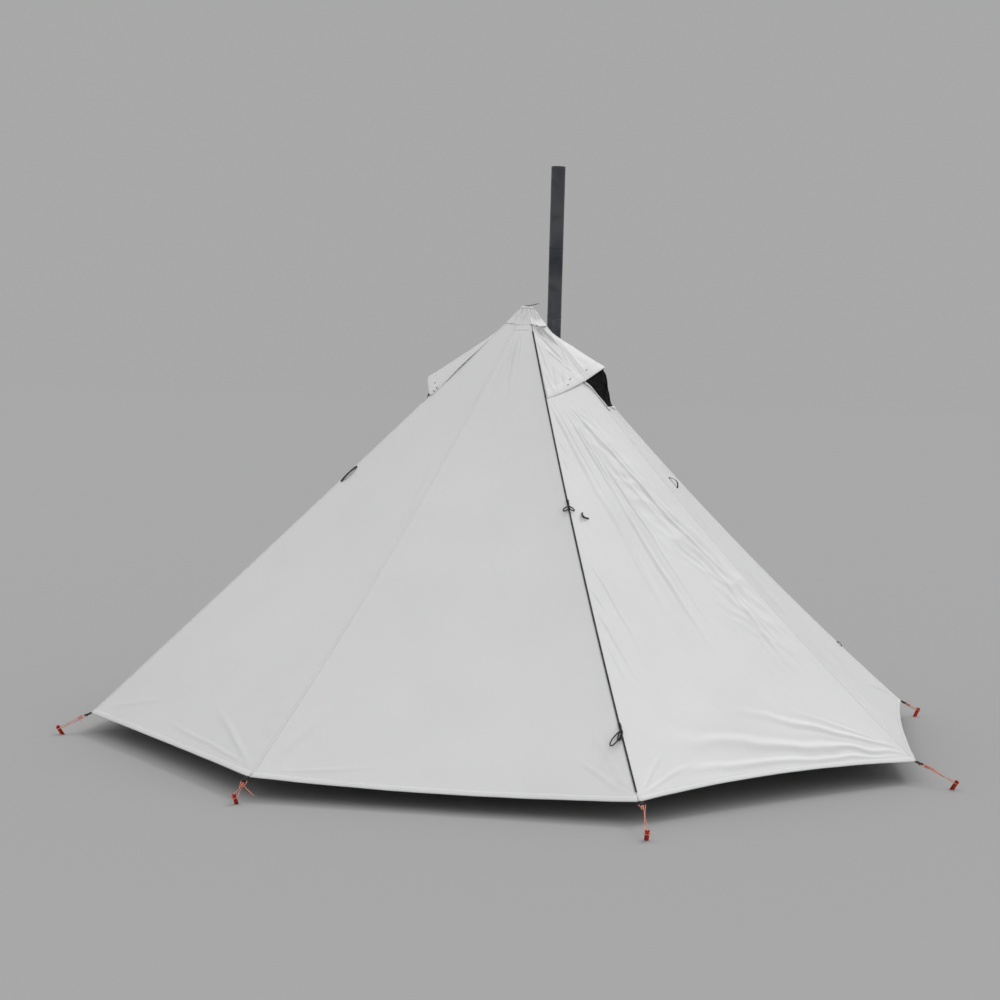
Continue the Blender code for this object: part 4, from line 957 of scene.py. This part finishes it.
def hood_lift(panel, across, share):
    grown = np.clip(hood_grown(panel, share), 0.0, None)
    high, stand = HOODS[panel][1], HOODS[panel][5]
    near = np.abs(2.0 * across - 1.0)
    along = near / HOOD_RIDGE
    bow = HOOD_BOW * high * 4.0 * along * (1.0 - along)
    over = high + (HOOD_RIDGE_LIFT - high) * along + bow
    past = (near - HOOD_RIDGE) / (1.0 - HOOD_RIDGE)
    mid = np.sin(np.pi * np.clip(grown, 0.0, 1.0)) ** 3
    beside = HOOD_RIDGE_LIFT * (1.0 - past) + stand * ease(past, 0.4, 1.0) * mid
    flat = HOOD_SIDE_LIFT - FABRIC / 2.0 - 0.0006 * ease(near, 0.85, 1.0)
    return flat + np.where(near > HOOD_RIDGE, beside, over) * grown


# Folds on a hood, by place on the gore before it: across and share at each end
LAP_FOLDS = [
    (0.1, 0.037, 0.55, 0.064, 0.003, 0.0035, 0.015), (0.4, 0.037, 0.95, 0.084, 0.003, 0.004, 0.015),
    (0.3, 0.058, 0.8, 0.126, 0.006, 0.01, 0.0045), (0.3, 0.088, 0.85, 0.149, 0.006, 0.012, 0.003),
    (0.12, 0.07, 0.25, 0.16, 0.005, 0.011, 0.003), (0.49, 0.115, 0.24, 0.2, 0.006, 0.013, 0.003),
    (0.7, 0.12, 0.45, 0.19, 0.006, 0.013, 0.0025), (0.1, 0.14, 0.2, 0.2, 0.005, 0.01, 0.0025),
]
# Folds on its middle, by metres across and down
TOP_FOLDS = [
    (-0.03, 0.14, -0.12, 0.44, 0.008, 0.022, 0.004), (0.03, 0.14, 0.09, 0.42, 0.008, 0.02, 0.004),
    (0.0, 0.16, 0.02, 0.44, 0.006, 0.018, -0.003), (-0.06, 0.2, -0.19, 0.4, 0.008, 0.018, -0.003),
]


def hood_folds(panel, across, share):
    """Folds in a hood's cloth, on its flat pattern."""
    low, beyond = lap_place(panel, across, share)
    inside = 0.5 * np.minimum(np.abs(2.0 * across - 1.0) / HOOD_RIDGE, 1.0)
    out = inside * gore_width(low) + beyond * gore_width(low)
    x, y = np.where(across < 0.5, -out, out), low * SLOPE
    lines = list(TOP_FOLDS)
    for u0, s0, u1, s1, thin, wide, height in LAP_FOLDS:
        x0, x1 = [-(1.5 - u) * float(gore_width(s)) for u, s in ((u0, s0), (u1, s1))]
        y0, y1 = s0 * SLOPE, s1 * SLOPE
        lines.append((x0, y0, x1, y1, thin, wide, height))
        lines.append((-x0 * 1.04, y0, -x1 * 0.97, y1 * 1.03, thin, wide, height * 0.7))
    coarse, fine = soft_noise(x * 30.0, y * 14.0, 6), soft_noise(x * 70.0, y * 30.0, 7)
    return fold_heights(x, y, lines, 12) + 0.0008 * coarse + 0.0003 * fine


def hood_grid(panel, shares, across, extra=0.0):
    share = np.asarray(shares)[:, None]
    end = HOODS[panel][0]
    edge = ease(1.0 - np.abs(2.0 * across - 1.0), 0.0, 0.04)
    edge = edge * (1.0 - 0.7 * ease(share, end - BRIM, end))
    lift = hood_lift(panel, across, share) + extra
    folds = np.maximum(hood_folds(panel, across, share), -0.5 * (lift - extra) - 0.0004)
    return vent_point(panel, across, share, lift + edge * folds)


def bar_tack(place, along):
    """A few tight stitches across a seam's end."""
    path = [Vector(place) + along * (0.009 * n / 6.0 - 0.0045) for n in range(7)]
    radii = [0.0007 + 0.0014 * math.sin(math.pi * (n + 0.7) / 7.4) for n in range(7)]
    return tube("tack", path, radii, black_webbing, 8)


# Cloth across a hood and a net in metres, for their weave
HOOD_SPAN = 0.9
NET_SPAN = 0.55
NET_FIRST = 0.155
NET_ROWS = 22
LIP_ROWS = 9
# The brim's band: how far down it, and lift
BRIM_ROWS = (
    (0.0, 0.0007), (0.06, 0.0014), (0.3, 0.0016), (0.6, 0.0016),
    (0.94, 0.0016), (1.0, 0.0009), (1.04, -0.001), (1.03, -0.003),
)
# The binding behind the brim: distance back from its edge, lift and V
BINDING_ROWS = ((-0.0004, -0.0026, 0.0), (0.0004, -0.0056, 0.004), (0.005, -0.005, 0.014))
# Bar tacks: place across the brim, and how much of the brim's depth they lie back
TACKS = ((0.24, 1.0), (0.105, 1.0), (0.085, 0.5), (0.76, 1.0), (0.895, 1.0), (0.915, 0.5))
# By hood: its net's bulge and creases, and the height of the lip along its sill
NETS = {1: (0.01, 0.016, 0.0065), 5: (-0.015, 0.01, 0.002)}


def net_edge(across):
    """How far down the sill lies, from none under the brim's ends to whole along the ridges."""
    end = np.minimum(across - NET_FIRST, 1.0 - NET_FIRST - across) / (0.5 - NET_FIRST)
    return 1.0 - (1.0 - np.clip(end * 4.0, 0.0, 1.0)) ** 2


def make_vent(panel, side):
    end, drop = HOODS[panel][0], HOODS[panel][3]
    bulge, creased, lip_height = NETS[panel]

    def row(back, across, lift):
        return hood_grid(panel, [end - back], across, lift)[0]

    def sew(name, rows, down, along, material, slot, *nodes, thickness=CLOTH):
        uvs = pair(along, np.asarray(down)[:, None])
        dress(grid_piece(name + side, rows, material, uvs, thickness), slot, *nodes)

    across = np.linspace(0.0, 1.0, 241)
    shares = np.linspace(HOOD_TOP, end, 84)
    along = across * HOOD_SPAN
    rows = hood_grid(panel, shares, across)
    sew("hood_", rows, shares * SLOPE, along, canopy_cloth, "canopy_cloth", "vent_hood_" + side)
    rows = [row(BRIM * (1.0 - down), across, lift) for down, lift in BRIM_ROWS]
    depth = [(down - 0.5) * 0.04 for down, lift in BRIM_ROWS]
    sew("brim_", rows, depth, along, brim_cloth, "canopy_cloth")

    inner = np.linspace(NET_FIRST - 0.05, 1.05 - NET_FIRST, 161)
    rows = [row(back, inner, lift) for back, lift, v in BINDING_ROWS]
    depth = [v for back, lift, v in BINDING_ROWS]
    along = inner * HOOD_SPAN
    sew("binding_", rows, depth, along, black_webbing, "black_webbing", thickness=0.0014)

    inner = np.linspace(NET_FIRST, 1.0 - NET_FIRST, 141)
    along = inner * NET_SPAN
    foot = max(SILL, end + 0.03 + drop)
    sill = end + drop * 0.9 + (foot - end - drop * 0.9) * net_edge(inner)
    sill = sill - (lap_place(panel, inner, sill)[0] - sill)
    low = vent_point(panel, inner, sill, HOOD_SIDE_LIFT - FABRIC / 2.0)
    high = row(0.003, inner, -0.0045)
    out = outward(panel, np.full_like(inner, 0.2))
    sideways = np.sin(np.pi * (inner - inner[0]) / (inner[-1] - inner[0])) ** 0.7
    rows = []
    for t in np.linspace(0.0, 1.0, NET_ROWS):
        crease = np.abs(soft_noise(inner * 30.0 + t * 2.0, inner * 6.0 + t * 5.0, 8)) - 0.3
        swell = math.sin(math.pi * t) * sideways * (bulge + creased * crease)
        rows.append(high + (low - high) * t + out * swell[:, None])
    depth = np.linspace(0.0, 0.1, NET_ROWS)
    sew("net_", rows, depth, along, net_black, "vent_netting", "vent_net_" + side, thickness=0.0006)

    by_ridge = 0.12 + 0.88 * ease(np.abs(2.0 * inner - 1.0), 0.15, 0.5)
    roll = lip_height * (1.0 + 0.7 * soft_noise(inner * 34.0, inner * 0.0, 9)) * by_ridge
    wide = (0.0008 + 0.0027 * by_ridge) * (1.0 + 0.3 * soft_noise(inner * 18.0, inner * 0.0, 3))
    rows = []
    for n in range(LIP_ROWS):
        turn = math.pi * n / (LIP_ROWS - 1.0)
        share = sill + wide * (1.0 - math.cos(turn))
        lift = HOOD_SIDE_LIFT + roll * math.sin(turn) ** 0.6
        rows.append(vent_point(panel, inner, share, lift))
    sew("sill_", rows, np.linspace(-0.006, 0.006, LIP_ROWS), along, seam_cloth, "canopy_cloth")

    tacks = []
    for place, back in TACKS:
        at, beside = row(BRIM * back, np.array([place, place + 0.01]), 0.003)
        tacks.append(bar_tack(at, (Vector(beside) - Vector(at)).normalized()))
    dress(joined("bar_tacks_" + side, tacks), "black_webbing")


net_black = net_finish()
make_vent(VENTS[0], "right")
make_vent(VENTS[1], "left")


# Peak cap

CAP_COLUMNS = 256
CAP_RINGS = 40
CAP_CROWN = 0.3
CAP_WELD = 0.0001
CAP_CLOTH = 0.0009


def around(number, share, lift):
    """Points on the canopy by ridge number, with shares of a gore between ridges."""
    number, share, lift = np.broadcast_arrays(number, share, lift)
    points = np.zeros(number.shape + (3,))
    for panel in range(PANELS):
        here = np.floor(number).astype(int) % PANELS == panel
        across = number[here] - np.floor(number[here])
        points[here] = cloth(panel, across, share[here], lift[here])
    return points


def make_cap():
    """A crown gathered round the peak's cord, and a skirt that lies on the gores."""
    number = np.arange(CAP_COLUMNS)[None, :] / CAP_COLUMNS * PANELS
    turn = np.radians(FIRST_RIDGE + number * 360.0 / PANELS)
    t = (np.arange(CAP_RINGS + 1) / CAP_RINGS)[:, None]
    down, k = np.clip((t - CAP_CROWN) / (1.0 - CAP_CROWN), 0.0, 1.0), np.minimum(t / CAP_CROWN, 1.0)
    flap = np.exp(-(((number - 0.75) / 0.55) ** 2))
    uneven = soft_noise(number * 1.1, number * 0.0, 11) * np.sin(np.pi * number / PANELS)
    rim = CAP_RIM + 0.0035 * uneven + 0.006 * flap
    stand = 0.0022 - 0.0012 * down + (0.0075 * flap) * down ** 3
    points = around(number, rim * down, stand)
    edge = around(number, rim * 0.0, np.full_like(stand, 0.0026))
    crown = POLE_TOP + GAP + 0.003
    puffed = 1.0 + 0.16 * ease(k, 0.3, 1.0) * (1.0 - down)
    reach = np.hypot(edge[..., 0], edge[..., 1]) * k * puffed
    height = crown + (edge[..., 2] - 0.002 - crown) * k ** 6
    flat = np.stack((reach * np.cos(turn), reach * np.sin(turn), height), axis=-1)
    points = np.where((t < CAP_CROWN)[..., None], flat, points)
    gather = np.abs(soft_noise(number * 3.5 + t * 0.8, t * 2.0 + number * 0.0, 9)) - 0.2
    fine = soft_noise(number * 11.0, t * 5.0 + number * 0.0, 10)
    shape = (np.sin(np.pi * np.clip(t * 0.7 + 0.2, 0.0, 1.0)) + 0.15) * ease(t, 0.05, 0.2)
    pleat = np.maximum((0.009 * gather + 0.002 * fine) * shape, -0.0012)
    out = (np.cos(turn) * SLOPE_DOWN, np.sin(turn) * SLOPE_DOWN, np.full_like(turn, SLOPE_OUT))
    points = points + np.stack(out, axis=-1) * pleat[..., None]
    faces = grid_faces(CAP_RINGS + 1, CAP_COLUMNS, True)
    uvs = pair(turn * 0.06, t * 0.12).reshape(-1, 2)
    cap = mesh_piece("cap", points.reshape(-1, 3), faces, canopy_cloth, uvs)
    weld(cap, CAP_WELD)
    dress(thicken(cap, CAP_CLOTH), "canopy_cloth", "peak_cap")


make_cap()


# Zip

zip_black = webbing_finish("zip_tape", (0.02, 0.02, 0.022))
zip_metal = metal_finish("zip_slider", (0.03, 0.03, 0.032), 0.38, 0.7)
TOOTH_PITCH = 0.006
TOOTH_LENGTH = 0.0036
TOOTH_WIDTH = 0.0026
TOOTH_LIFTS = (0.0011, 0.0024)
TOOTH_FACES = np.array(
    ((0, 1, 3, 2), (4, 6, 7, 5), (0, 4, 5, 1), (2, 3, 7, 6), (1, 5, 7, 3), (0, 2, 6, 4)))


def tape(name, panel, at_start):
    shares = np.linspace(ZIP_TOP if at_start else ZIP_START, ZIP_END, 240)
    near, wide = 1.5 * GAP / gore_width(shares), TAPE_WIDTH / gore_width(shares)
    columns = []
    for k in range(4):
        across = near + wide * k / 3.0
        across = across if at_start else 1.0 - across
        columns.append(cloth(panel, across, shares, FABRIC / 2.0 + 0.0006))
    uvs = pair(shares[:, None] * SLOPE, np.arange(4) / 3.0 * TAPE_WIDTH)
    return grid_piece(name, np.stack(columns, axis=1), zip_black, uvs)


def coil(name, panel, at_start):
    """One half of the zip's coil: a row of small teeth beside the seam."""
    count = int((ZIP_END - ZIP_START) * SLOPE / TOOTH_PITCH)
    points, faces = [], []
    for n in range(count):
        first = ZIP_START + (n + (0.5 if at_start else 0.0)) * TOOTH_PITCH / SLOPE
        width = TOOTH_WIDTH / float(gore_width(first))
        faces += (TOOTH_FACES + len(points)).tolist()
        for share in (first, first + TOOTH_LENGTH / SLOPE):
            for across in (0.0, width):
                across = across if at_start else 1.0 - across
                points += [cloth(panel, across, share, FABRIC / 2.0 + lift) for lift in TOOTH_LIFTS]
    return mesh_piece(name, points, faces, zip_black, np.zeros((len(points), 2)), False)


def make_zip():
    halves = []
    for part, panel, body in (("fixed", 0, "tent"), ("door", DOOR, None)):
        items = [tape("tape_" + part, panel, panel == 0), coil("coil_" + part, panel, panel == 0)]
        half = joined("zip_" + part, items)
        halves.append(dress(half, "zip_tape", "zip_tape_" + part, body=body))
    return halves


zip_fixed, zip_moving = make_zip()
for item in (door_sheet, zip_moving, *door_trim):
    hinge_blend(item)


# Flue

FLUE_WALL = 0.001
NECK_DEPTH = 0.05
flue_steel = flue_finish()


def make_flue():
    """Sections with a rolled bead at each end, and a neck that sits in the one below."""
    base, r = FLUE_BASE, FLUE_RADIUS
    bore, neck = r - FLUE_WALL, r - FLUE_WALL - GAP
    for number in range(1, FLUE_SECTIONS + 1):
        top = base + (FLUE_TOP_LENGTH if number == FLUE_SECTIONS else FLUE_PITCH)
        low = base + GAP
        outline = [
            (r - 0.0004, top), (r, top - 0.0008), (r, top - 0.012), (r + 0.0009, top - 0.0145),
            (r, top - 0.017), (r, low + 0.012), (r + 0.0007, low + 0.007),
            (r + 0.0011, low + 0.0045), (r + 0.0007, low + 0.002), (r, low), (neck, low),
            (neck - 0.0004, low - NECK_DEPTH), (neck - 0.0014, low - NECK_DEPTH),
            (bore, low + 0.002), (bore, top),
        ]
        section = turned("flue_%d" % number, outline, flue_centre(), flue_steel)
        dress(section, "flue_steel", "flue_section_%d" % number)
        base = top


make_flue()


# Webbing, pulls and the flue's patch

stitch_thread = plastic_finish("stitch_thread", (0.05, 0.05, 0.052), 0.6)
pull_plastic = plastic_finish("pull_plastic", (0.02, 0.02, 0.021), 0.35)
patch_cloth = webbing_finish("jack_patch", (0.12, 0.12, 0.125))
# Where an eye's bend starts, as a turn from the guyline's pull
EYE_TURN = math.radians(112.0)


def ribbon(name, path, side, width, thickness=0.0014):
    """Flat webbing along a path."""
    across = np.linspace(-0.5, 0.5, 5)
    rows, along = [], [0.0]
    for n, point in enumerate(path):
        if n:
            along.append(along[-1] + (point - path[n - 1]).length)
        rows.append([tuple(point + side * (width * a)) for a in across])
    uvs = pair(np.array(along)[:, None], across * width)
    return grid_piece(name, rows, black_webbing, uvs, thickness)


def make_corner_tabs():
    """A folded webbing loop at each corner, with two rows of stitches on each face."""
    reach = TAB_LENGTH - EYE_RADIUS - WEB
    bend = EYE_RADIUS + WEB / 2.0
    root = WEB / 2.0 + 0.0001
    turns = [EYE_TURN * (1.0 - n / 8.0) for n in range(17)]
    flat = [(GAP * 3.0 + (reach - 0.006 - GAP * 3.0) * n / 8.0, root) for n in range(9)]
    eye = [(reach + bend * math.cos(turn), bend * math.sin(turn)) for turn in turns]
    outline = flat + eye + [(x, -z) for x, z in flat[::-1]]
    for corner in range(PANELS):
        place = corner_place(corner)
        side = place.to_3x3().col[1]
        path = [place @ Vector((x, 0.0, z)) for x, z in outline]
        items = [ribbon("tab", path, side, TAB_WIDTH, WEB * 0.8)]
        for x in (0.007, 0.0155):
            for z in (root + WEB * 0.45, -root - WEB * 0.45):
                at = place @ Vector((x, 0.0, z))
                stitch = [at + side * (TAB_WIDTH * 0.42 * (n / 8.0 - 0.5) * 2.0) for n in range(9)]
                radii = [0.0004 + 0.0003 * (n % 2) for n in range(9)]
                items.append(tube("stitch", stitch, radii, stitch_thread, 8))
        number = "_%d" % (corner + 1)
        dress(joined("webbing" + number, items), "black_webbing", "corner_tab" + number)


def surface_frame(panel, across, share):
    """A place on a gore: the point, then down the slope, along the hem and out from the cloth."""
    at = Vector(cloth(panel, across, share))
    down = (Vector(cloth(panel, across, share + 0.004)) - at).normalized()
    out = Vector(outward(panel, np.array(share))).normalized()
    down = (down - out * down.dot(out)).normalized()
    return at, down, out.cross(down), out


# Small loops: gore, across, share, turn from the slope, length, height, width and sideways bow
WEB_LOOPS = (
    (0, 0.1, 0.452, 0.75, 0.036, 0.01, 0.013, -0.7),
    (1, 0.58, 0.388, -0.25, 0.062, 0.016, 0.026, 0.12),
    (6, 0.025, 0.396, 0.0, 0.1, 0.01, 0.014, 0.1),
    (1, 0.985, 0.83, 0.0, 0.03, 0.006, 0.012, 0.12),
    (3, 0.1, 0.6, 0.5, 0.04, 0.012, 0.012, 0.12),
    (4, 0.1, 0.405, 0.0, 0.06, 0.013, 0.014, 0.12),
)


def make_web_loops():
    """Small webbing loops sewn to the cloth at both ends, bowed off it."""
    items = []
    for panel, across, share, turn, length, high, width, bow in WEB_LOOPS:
        at, down, side, out = surface_frame(panel, across, share)
        along = down * math.cos(turn) + side * math.sin(turn)
        beside = out.cross(along).normalized()
        path = []
        for n in range(25):
            arch = math.sin(math.pi * n / 24.0) if 0 < n < 24 else 0.0
            point = at + along * (length * n / 24.0) + out * (0.0022 + high * arch ** 0.8)
            path.append(point + beside * (bow * length * arch))
        items.append(ribbon("web_loop", path, beside, width))
        items += [bar_tack(path[n] + out * 0.001, beside) for n in (0, -1)]
    dress(joined("web_loops", items), "black_webbing")


# By slider: its share, and each loop's way down and over, length and width
PULLS = {
    "upper": (0.43, ((0.6, -0.8, 0.04, 0.014), (0.75, 0.66, 0.034, 0.012))),
    "lower": (0.868, ((0.85, -0.72, 0.095, 0.02), (0.95, -0.45, 0.055, 0.014))),
}


def pull_loop(start, along, beside, length, width):
    """A moulded loop through a slider's pull: long, round-ended and closed."""
    path = []
    for n in range(40):
        turn = TURN * n / 40.0
        out = 0.5 * width * math.sin(turn) * (0.75 + 0.35 * math.sin(turn / 2.0))
        path.append(start + along * (0.5 * length * (1.0 - math.cos(turn))) + beside * out)
    return tube("pull", path, 0.0028, pull_plastic, 10, True)


def make_pulls():
    for slider, (share, loops) in PULLS.items():
        out = Vector(outward(0, np.array(share)) + outward(DOOR, np.array(share))).normalized()
        top = Vector(ridge(0, share))
        along = (Vector(ridge(0, share + 0.004)) - top).normalized()
        side = out.cross(along).normalized()
        start = top + along * 0.03 + out * 0.0085
        items = []
        for down, over, length, width in loops:
            way = (along * down + side * over).normalized()
            items.append(pull_loop(start + way * -0.004, way, out.cross(way), length, width))
            start = start + out * 0.0016
        grip = [start + along * 0.004 + side * (0.004 * (n - 3) / 3.0) for n in range(7)]
        radii = [0.002 + 0.0016 * math.sin(math.pi * n / 6.0) for n in range(7)]
        items.append(tube("grip", grip, radii, pull_plastic, 10))
        dress(joined("pull_loops_" + slider, items), "zip_slider", body="slider_" + slider)


JACK_SHARES = (0.2, 0.7)
FLAP_TURNS = 2.4
FLAP_CLOTH = 0.0016
TIE_PLACE = 0.09
THREAD = 0.0005


def jack_point(x, reach, lift):
    """A point of the back gore by its distances along the hem and out from the pole."""
    shares = np.linspace(*JACK_SHARES, 2001)
    middle = cloth(JACK, 0.5, shares)
    share = np.interp(reach, np.hypot(middle[:, 0], middle[:, 1]), shares)
    return cloth(JACK, 0.5 + x / gore_width(share), share, lift), share


def make_patch():
    """The heat-proof patch round the flue, its ring, the canopy's facing and their stitches."""
    centre = flue_centre()
    turn = math.radians(FIRST_RIDGE + (JACK + 0.5) * 360.0 / PANELS)
    reach = centre.x * math.cos(turn) + centre.y * math.sin(turn)
    over = -centre.x * math.sin(turn) + centre.y * math.cos(turn)
    angles = np.linspace(0.0, TURN, 97)
    cosine, sine = np.cos(angles), np.sin(angles)
    half_x, half_y = JACK_WIDTH / 2.0, JACK_LENGTH / 2.0

    def line(x, y, lift):
        return jack_point(over + x, reach + y * SLOPE_OUT, lift)[0]

    def oval(room):
        radius = FLUE_RADIUS + room
        return radius * cosine, radius * sine / SLOPE_OUT

    def band(name, inner, outer, count, lift, material, thickness, slot, *nodes, fall=0.0):
        """Cloth between two outlines, whose outer edge may fall to the gore."""
        rows, uvs = [], []
        for t in np.linspace(0.0, 1.0, count):
            x, y = [near + (far - near) * t for near, far in zip(inner, outer)]
            rows.append(line(x, y, lift - fall * ease(t, 0.95, 1.0)))
            uvs.append(pair(y + 1.0, x))
        dress(grid_piece(name, rows, material, uvs, thickness), slot, *nodes)

    beyond_x, beyond_y = np.maximum(np.abs(cosine), NEAR), np.maximum(np.abs(sine), NEAR)
    square = np.minimum(half_x / beyond_x, half_y / beyond_y)
    rim = square * cosine, square * sine
    lift, high, slot = FABRIC + 0.0012, FABRIC + 0.0034, "jack_patch"
    band("patch", oval(0.0008), rim, 18, lift, patch_cloth, 0.0022, slot, "stove_jack", fall=0.0008)
    band("patch_ring", oval(0.0006), oval(0.02), 5, high, patch_cloth, 0.0016, slot)
    band("patch_facing", oval(0.03), oval(0.09), 6, -0.0024, canopy_cloth, CLOTH, "canopy_cloth")
    seams = [
        (rim[0] * (1.0 - inset / half_x), rim[1] * (1.0 - inset / half_y), 0.0026)
        for inset in (0.006, 0.014)]
    seams.append((*oval(0.015), 0.0046))
    edges = [
        tube("stitching", line(x, y, FABRIC + lift)[:-1], THREAD, stitch_thread, 6, True)
        for x, y, lift in seams]
    dress(joined("patch_stitching", edges), "jack_patch")


def make_flap():
    """The patch's rain flap, rolled up above it and tied."""
    share = jack_point(0.0, math.hypot(*flue_centre().xy), 0.0)[1]
    low = float(share) - (JACK_LENGTH / 2.0 + (FLAP_RADIUS + 0.0022) * 1.3) / SLOPE
    at, down, side, out = surface_frame(JACK, 0.5, low)
    axis = at + out * (FABRIC + FLAP_RADIUS)
    half = JACK_WIDTH / 2.0 - 0.002
    length = np.linspace(-half, half, 41)
    pinch = 1.0 - 0.1 * np.exp(-(((np.abs(length) - TIE_PLACE) / 0.012) ** 2))
    rows, uvs = [], []
    for n in range(97):
        angle = TURN * FLAP_TURNS * n / 96.0
        away = down * math.cos(angle) + out * math.sin(angle)
        wave = 1.0 + 0.03 * soft_noise(length * 22.0, length * 0.0 + angle * 0.5, 15)
        radii = (FLAP_RADIUS - 0.001) * (1.0 - 0.55 * n / 96.0) * pinch * np.minimum(wave, 1.0)
        rows.append([tuple(axis + side * x + away * r) for x, r in zip(length, radii)])
        uvs.append(pair(angle * 0.02, length))
    flap = grid_piece("rolled_flap", rows, patch_cloth, uvs, FLAP_CLOTH)
    dress(flap, "jack_patch", "jack_flap")
    ties = []
    for x in (-TIE_PLACE, TIE_PLACE):
        path = []
        for n in range(33):
            angle = -0.45 * math.pi + 1.9 * math.pi * n / 32.0
            away = down * math.cos(angle) + out * math.sin(angle)
            path.append(axis + side * x + away * (FLAP_RADIUS * 0.93))
        ties.append(ribbon("tie", path, side, 0.01, 0.001))
    dress(joined("flap_ties", ties), "black_webbing")


make_corner_tabs()
make_web_loops()
make_pulls()
make_patch()
make_flap()


# Carried-over nodes: a finish, then the nodes that take it

BEVEL = 0.0004
STOVE_BEVEL = 0.0012
SHARP = math.radians(40.0)
PAINTS = (
    (metal_finish("peg_red", (0.55, 0.045, 0.022), 0.3, 0.75), ["peg_%d" % n for n in range(1, 9)]),
    (metal_finish("pole_alloy", (0.55, 0.56, 0.58), 0.32, 0.9),
     ["pole_lower_tube", "pole_upper_tube"]),
    (plastic_finish("pole_plastic", (0.03, 0.03, 0.035), 0.55),
     ["pole_tip", "pole_clamp", "pole_lever"]),
    (plastic_finish("pole_rubber", (0.02, 0.02, 0.02), 0.85), ["pole_foot"]),
    (metal_finish("stove_steel", (0.03, 0.03, 0.032), 0.55, 0.5), ["stove_body", "stove_door"]),
    (zip_metal, ["zip_slider_upper", "zip_slider_lower"]),
)
for material, names in PAINTS:
    for name in names:
        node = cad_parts[name]
        for slot in node.material_slots:
            slot.material = material
        soft = node.modifiers.new("Rounded", "BEVEL")
        soft.width = STOVE_BEVEL if name.startswith("stove") else BEVEL
        soft.segments = 2
        soft.limit_method = "ANGLE"
        soft.angle_limit = SHARP


# Floor and light

FLOOR_HALF = 90.0
FLOOR_TONE = 0.31
BACKDROP = 0.3935
SKY = 1.09
KEY = 0.75
KEY_SIZE, KEY_HEIGHT, KEY_TURN = math.radians(18.0), math.radians(50.0), math.radians(58.0)


def make_stage():
    corners = ((-1, -1), (1, -1), (1, 1), (-1, 1))
    points = [(x * FLOOR_HALF, y * FLOOR_HALF, 0.0) for x, y in corners]
    pale = Finish("floor_pale", (FLOOR_TONE,) * 3, 1.0, Specular_IOR_Level=0.0)
    mesh_piece("floor", points, [(0, 1, 2, 3)], pale.material, None)
    scene.world = bpy.data.worlds.new("world")
    scene.world.use_nodes = True
    tree = scene.world.node_tree
    sky = tree.nodes["Background"]
    sky.inputs["Color"].default_value = (1.0, 1.0, 1.0, 1.0)
    sky.inputs["Strength"].default_value = SKY
    seen = add_node(tree, "ShaderNodeBackground", {"Color": (BACKDROP, BACKDROP, BACKDROP, 1.0)})
    rays = add_node(tree, "ShaderNodeLightPath", {})
    plain = rays["Is Camera Ray"]
    for name in ("Is Glossy Ray", "Is Transmission Ray"):
        plain = add_node(tree, "ShaderNodeMath", {0: plain, 1: rays[name]}, operation="MAXIMUM")[0]
    mixed = add_node(tree, "ShaderNodeMixShader", {0: plain, 1: sky.outputs[0], 2: seen[0]})
    feed(tree, tree.nodes["World Output"].inputs[0], mixed[0])
    lamp = bpy.data.lights.new("key", "SUN")
    lamp.energy = KEY
    lamp.angle = KEY_SIZE
    item = bpy.data.objects.new("key", lamp)
    item.rotation_euler = (math.pi / 2.0 - KEY_HEIGHT, 0.0, math.pi / 2.0 + KEY_TURN)
    scene.collection.objects.link(item)


make_stage()

bpy.context.view_layer.update()
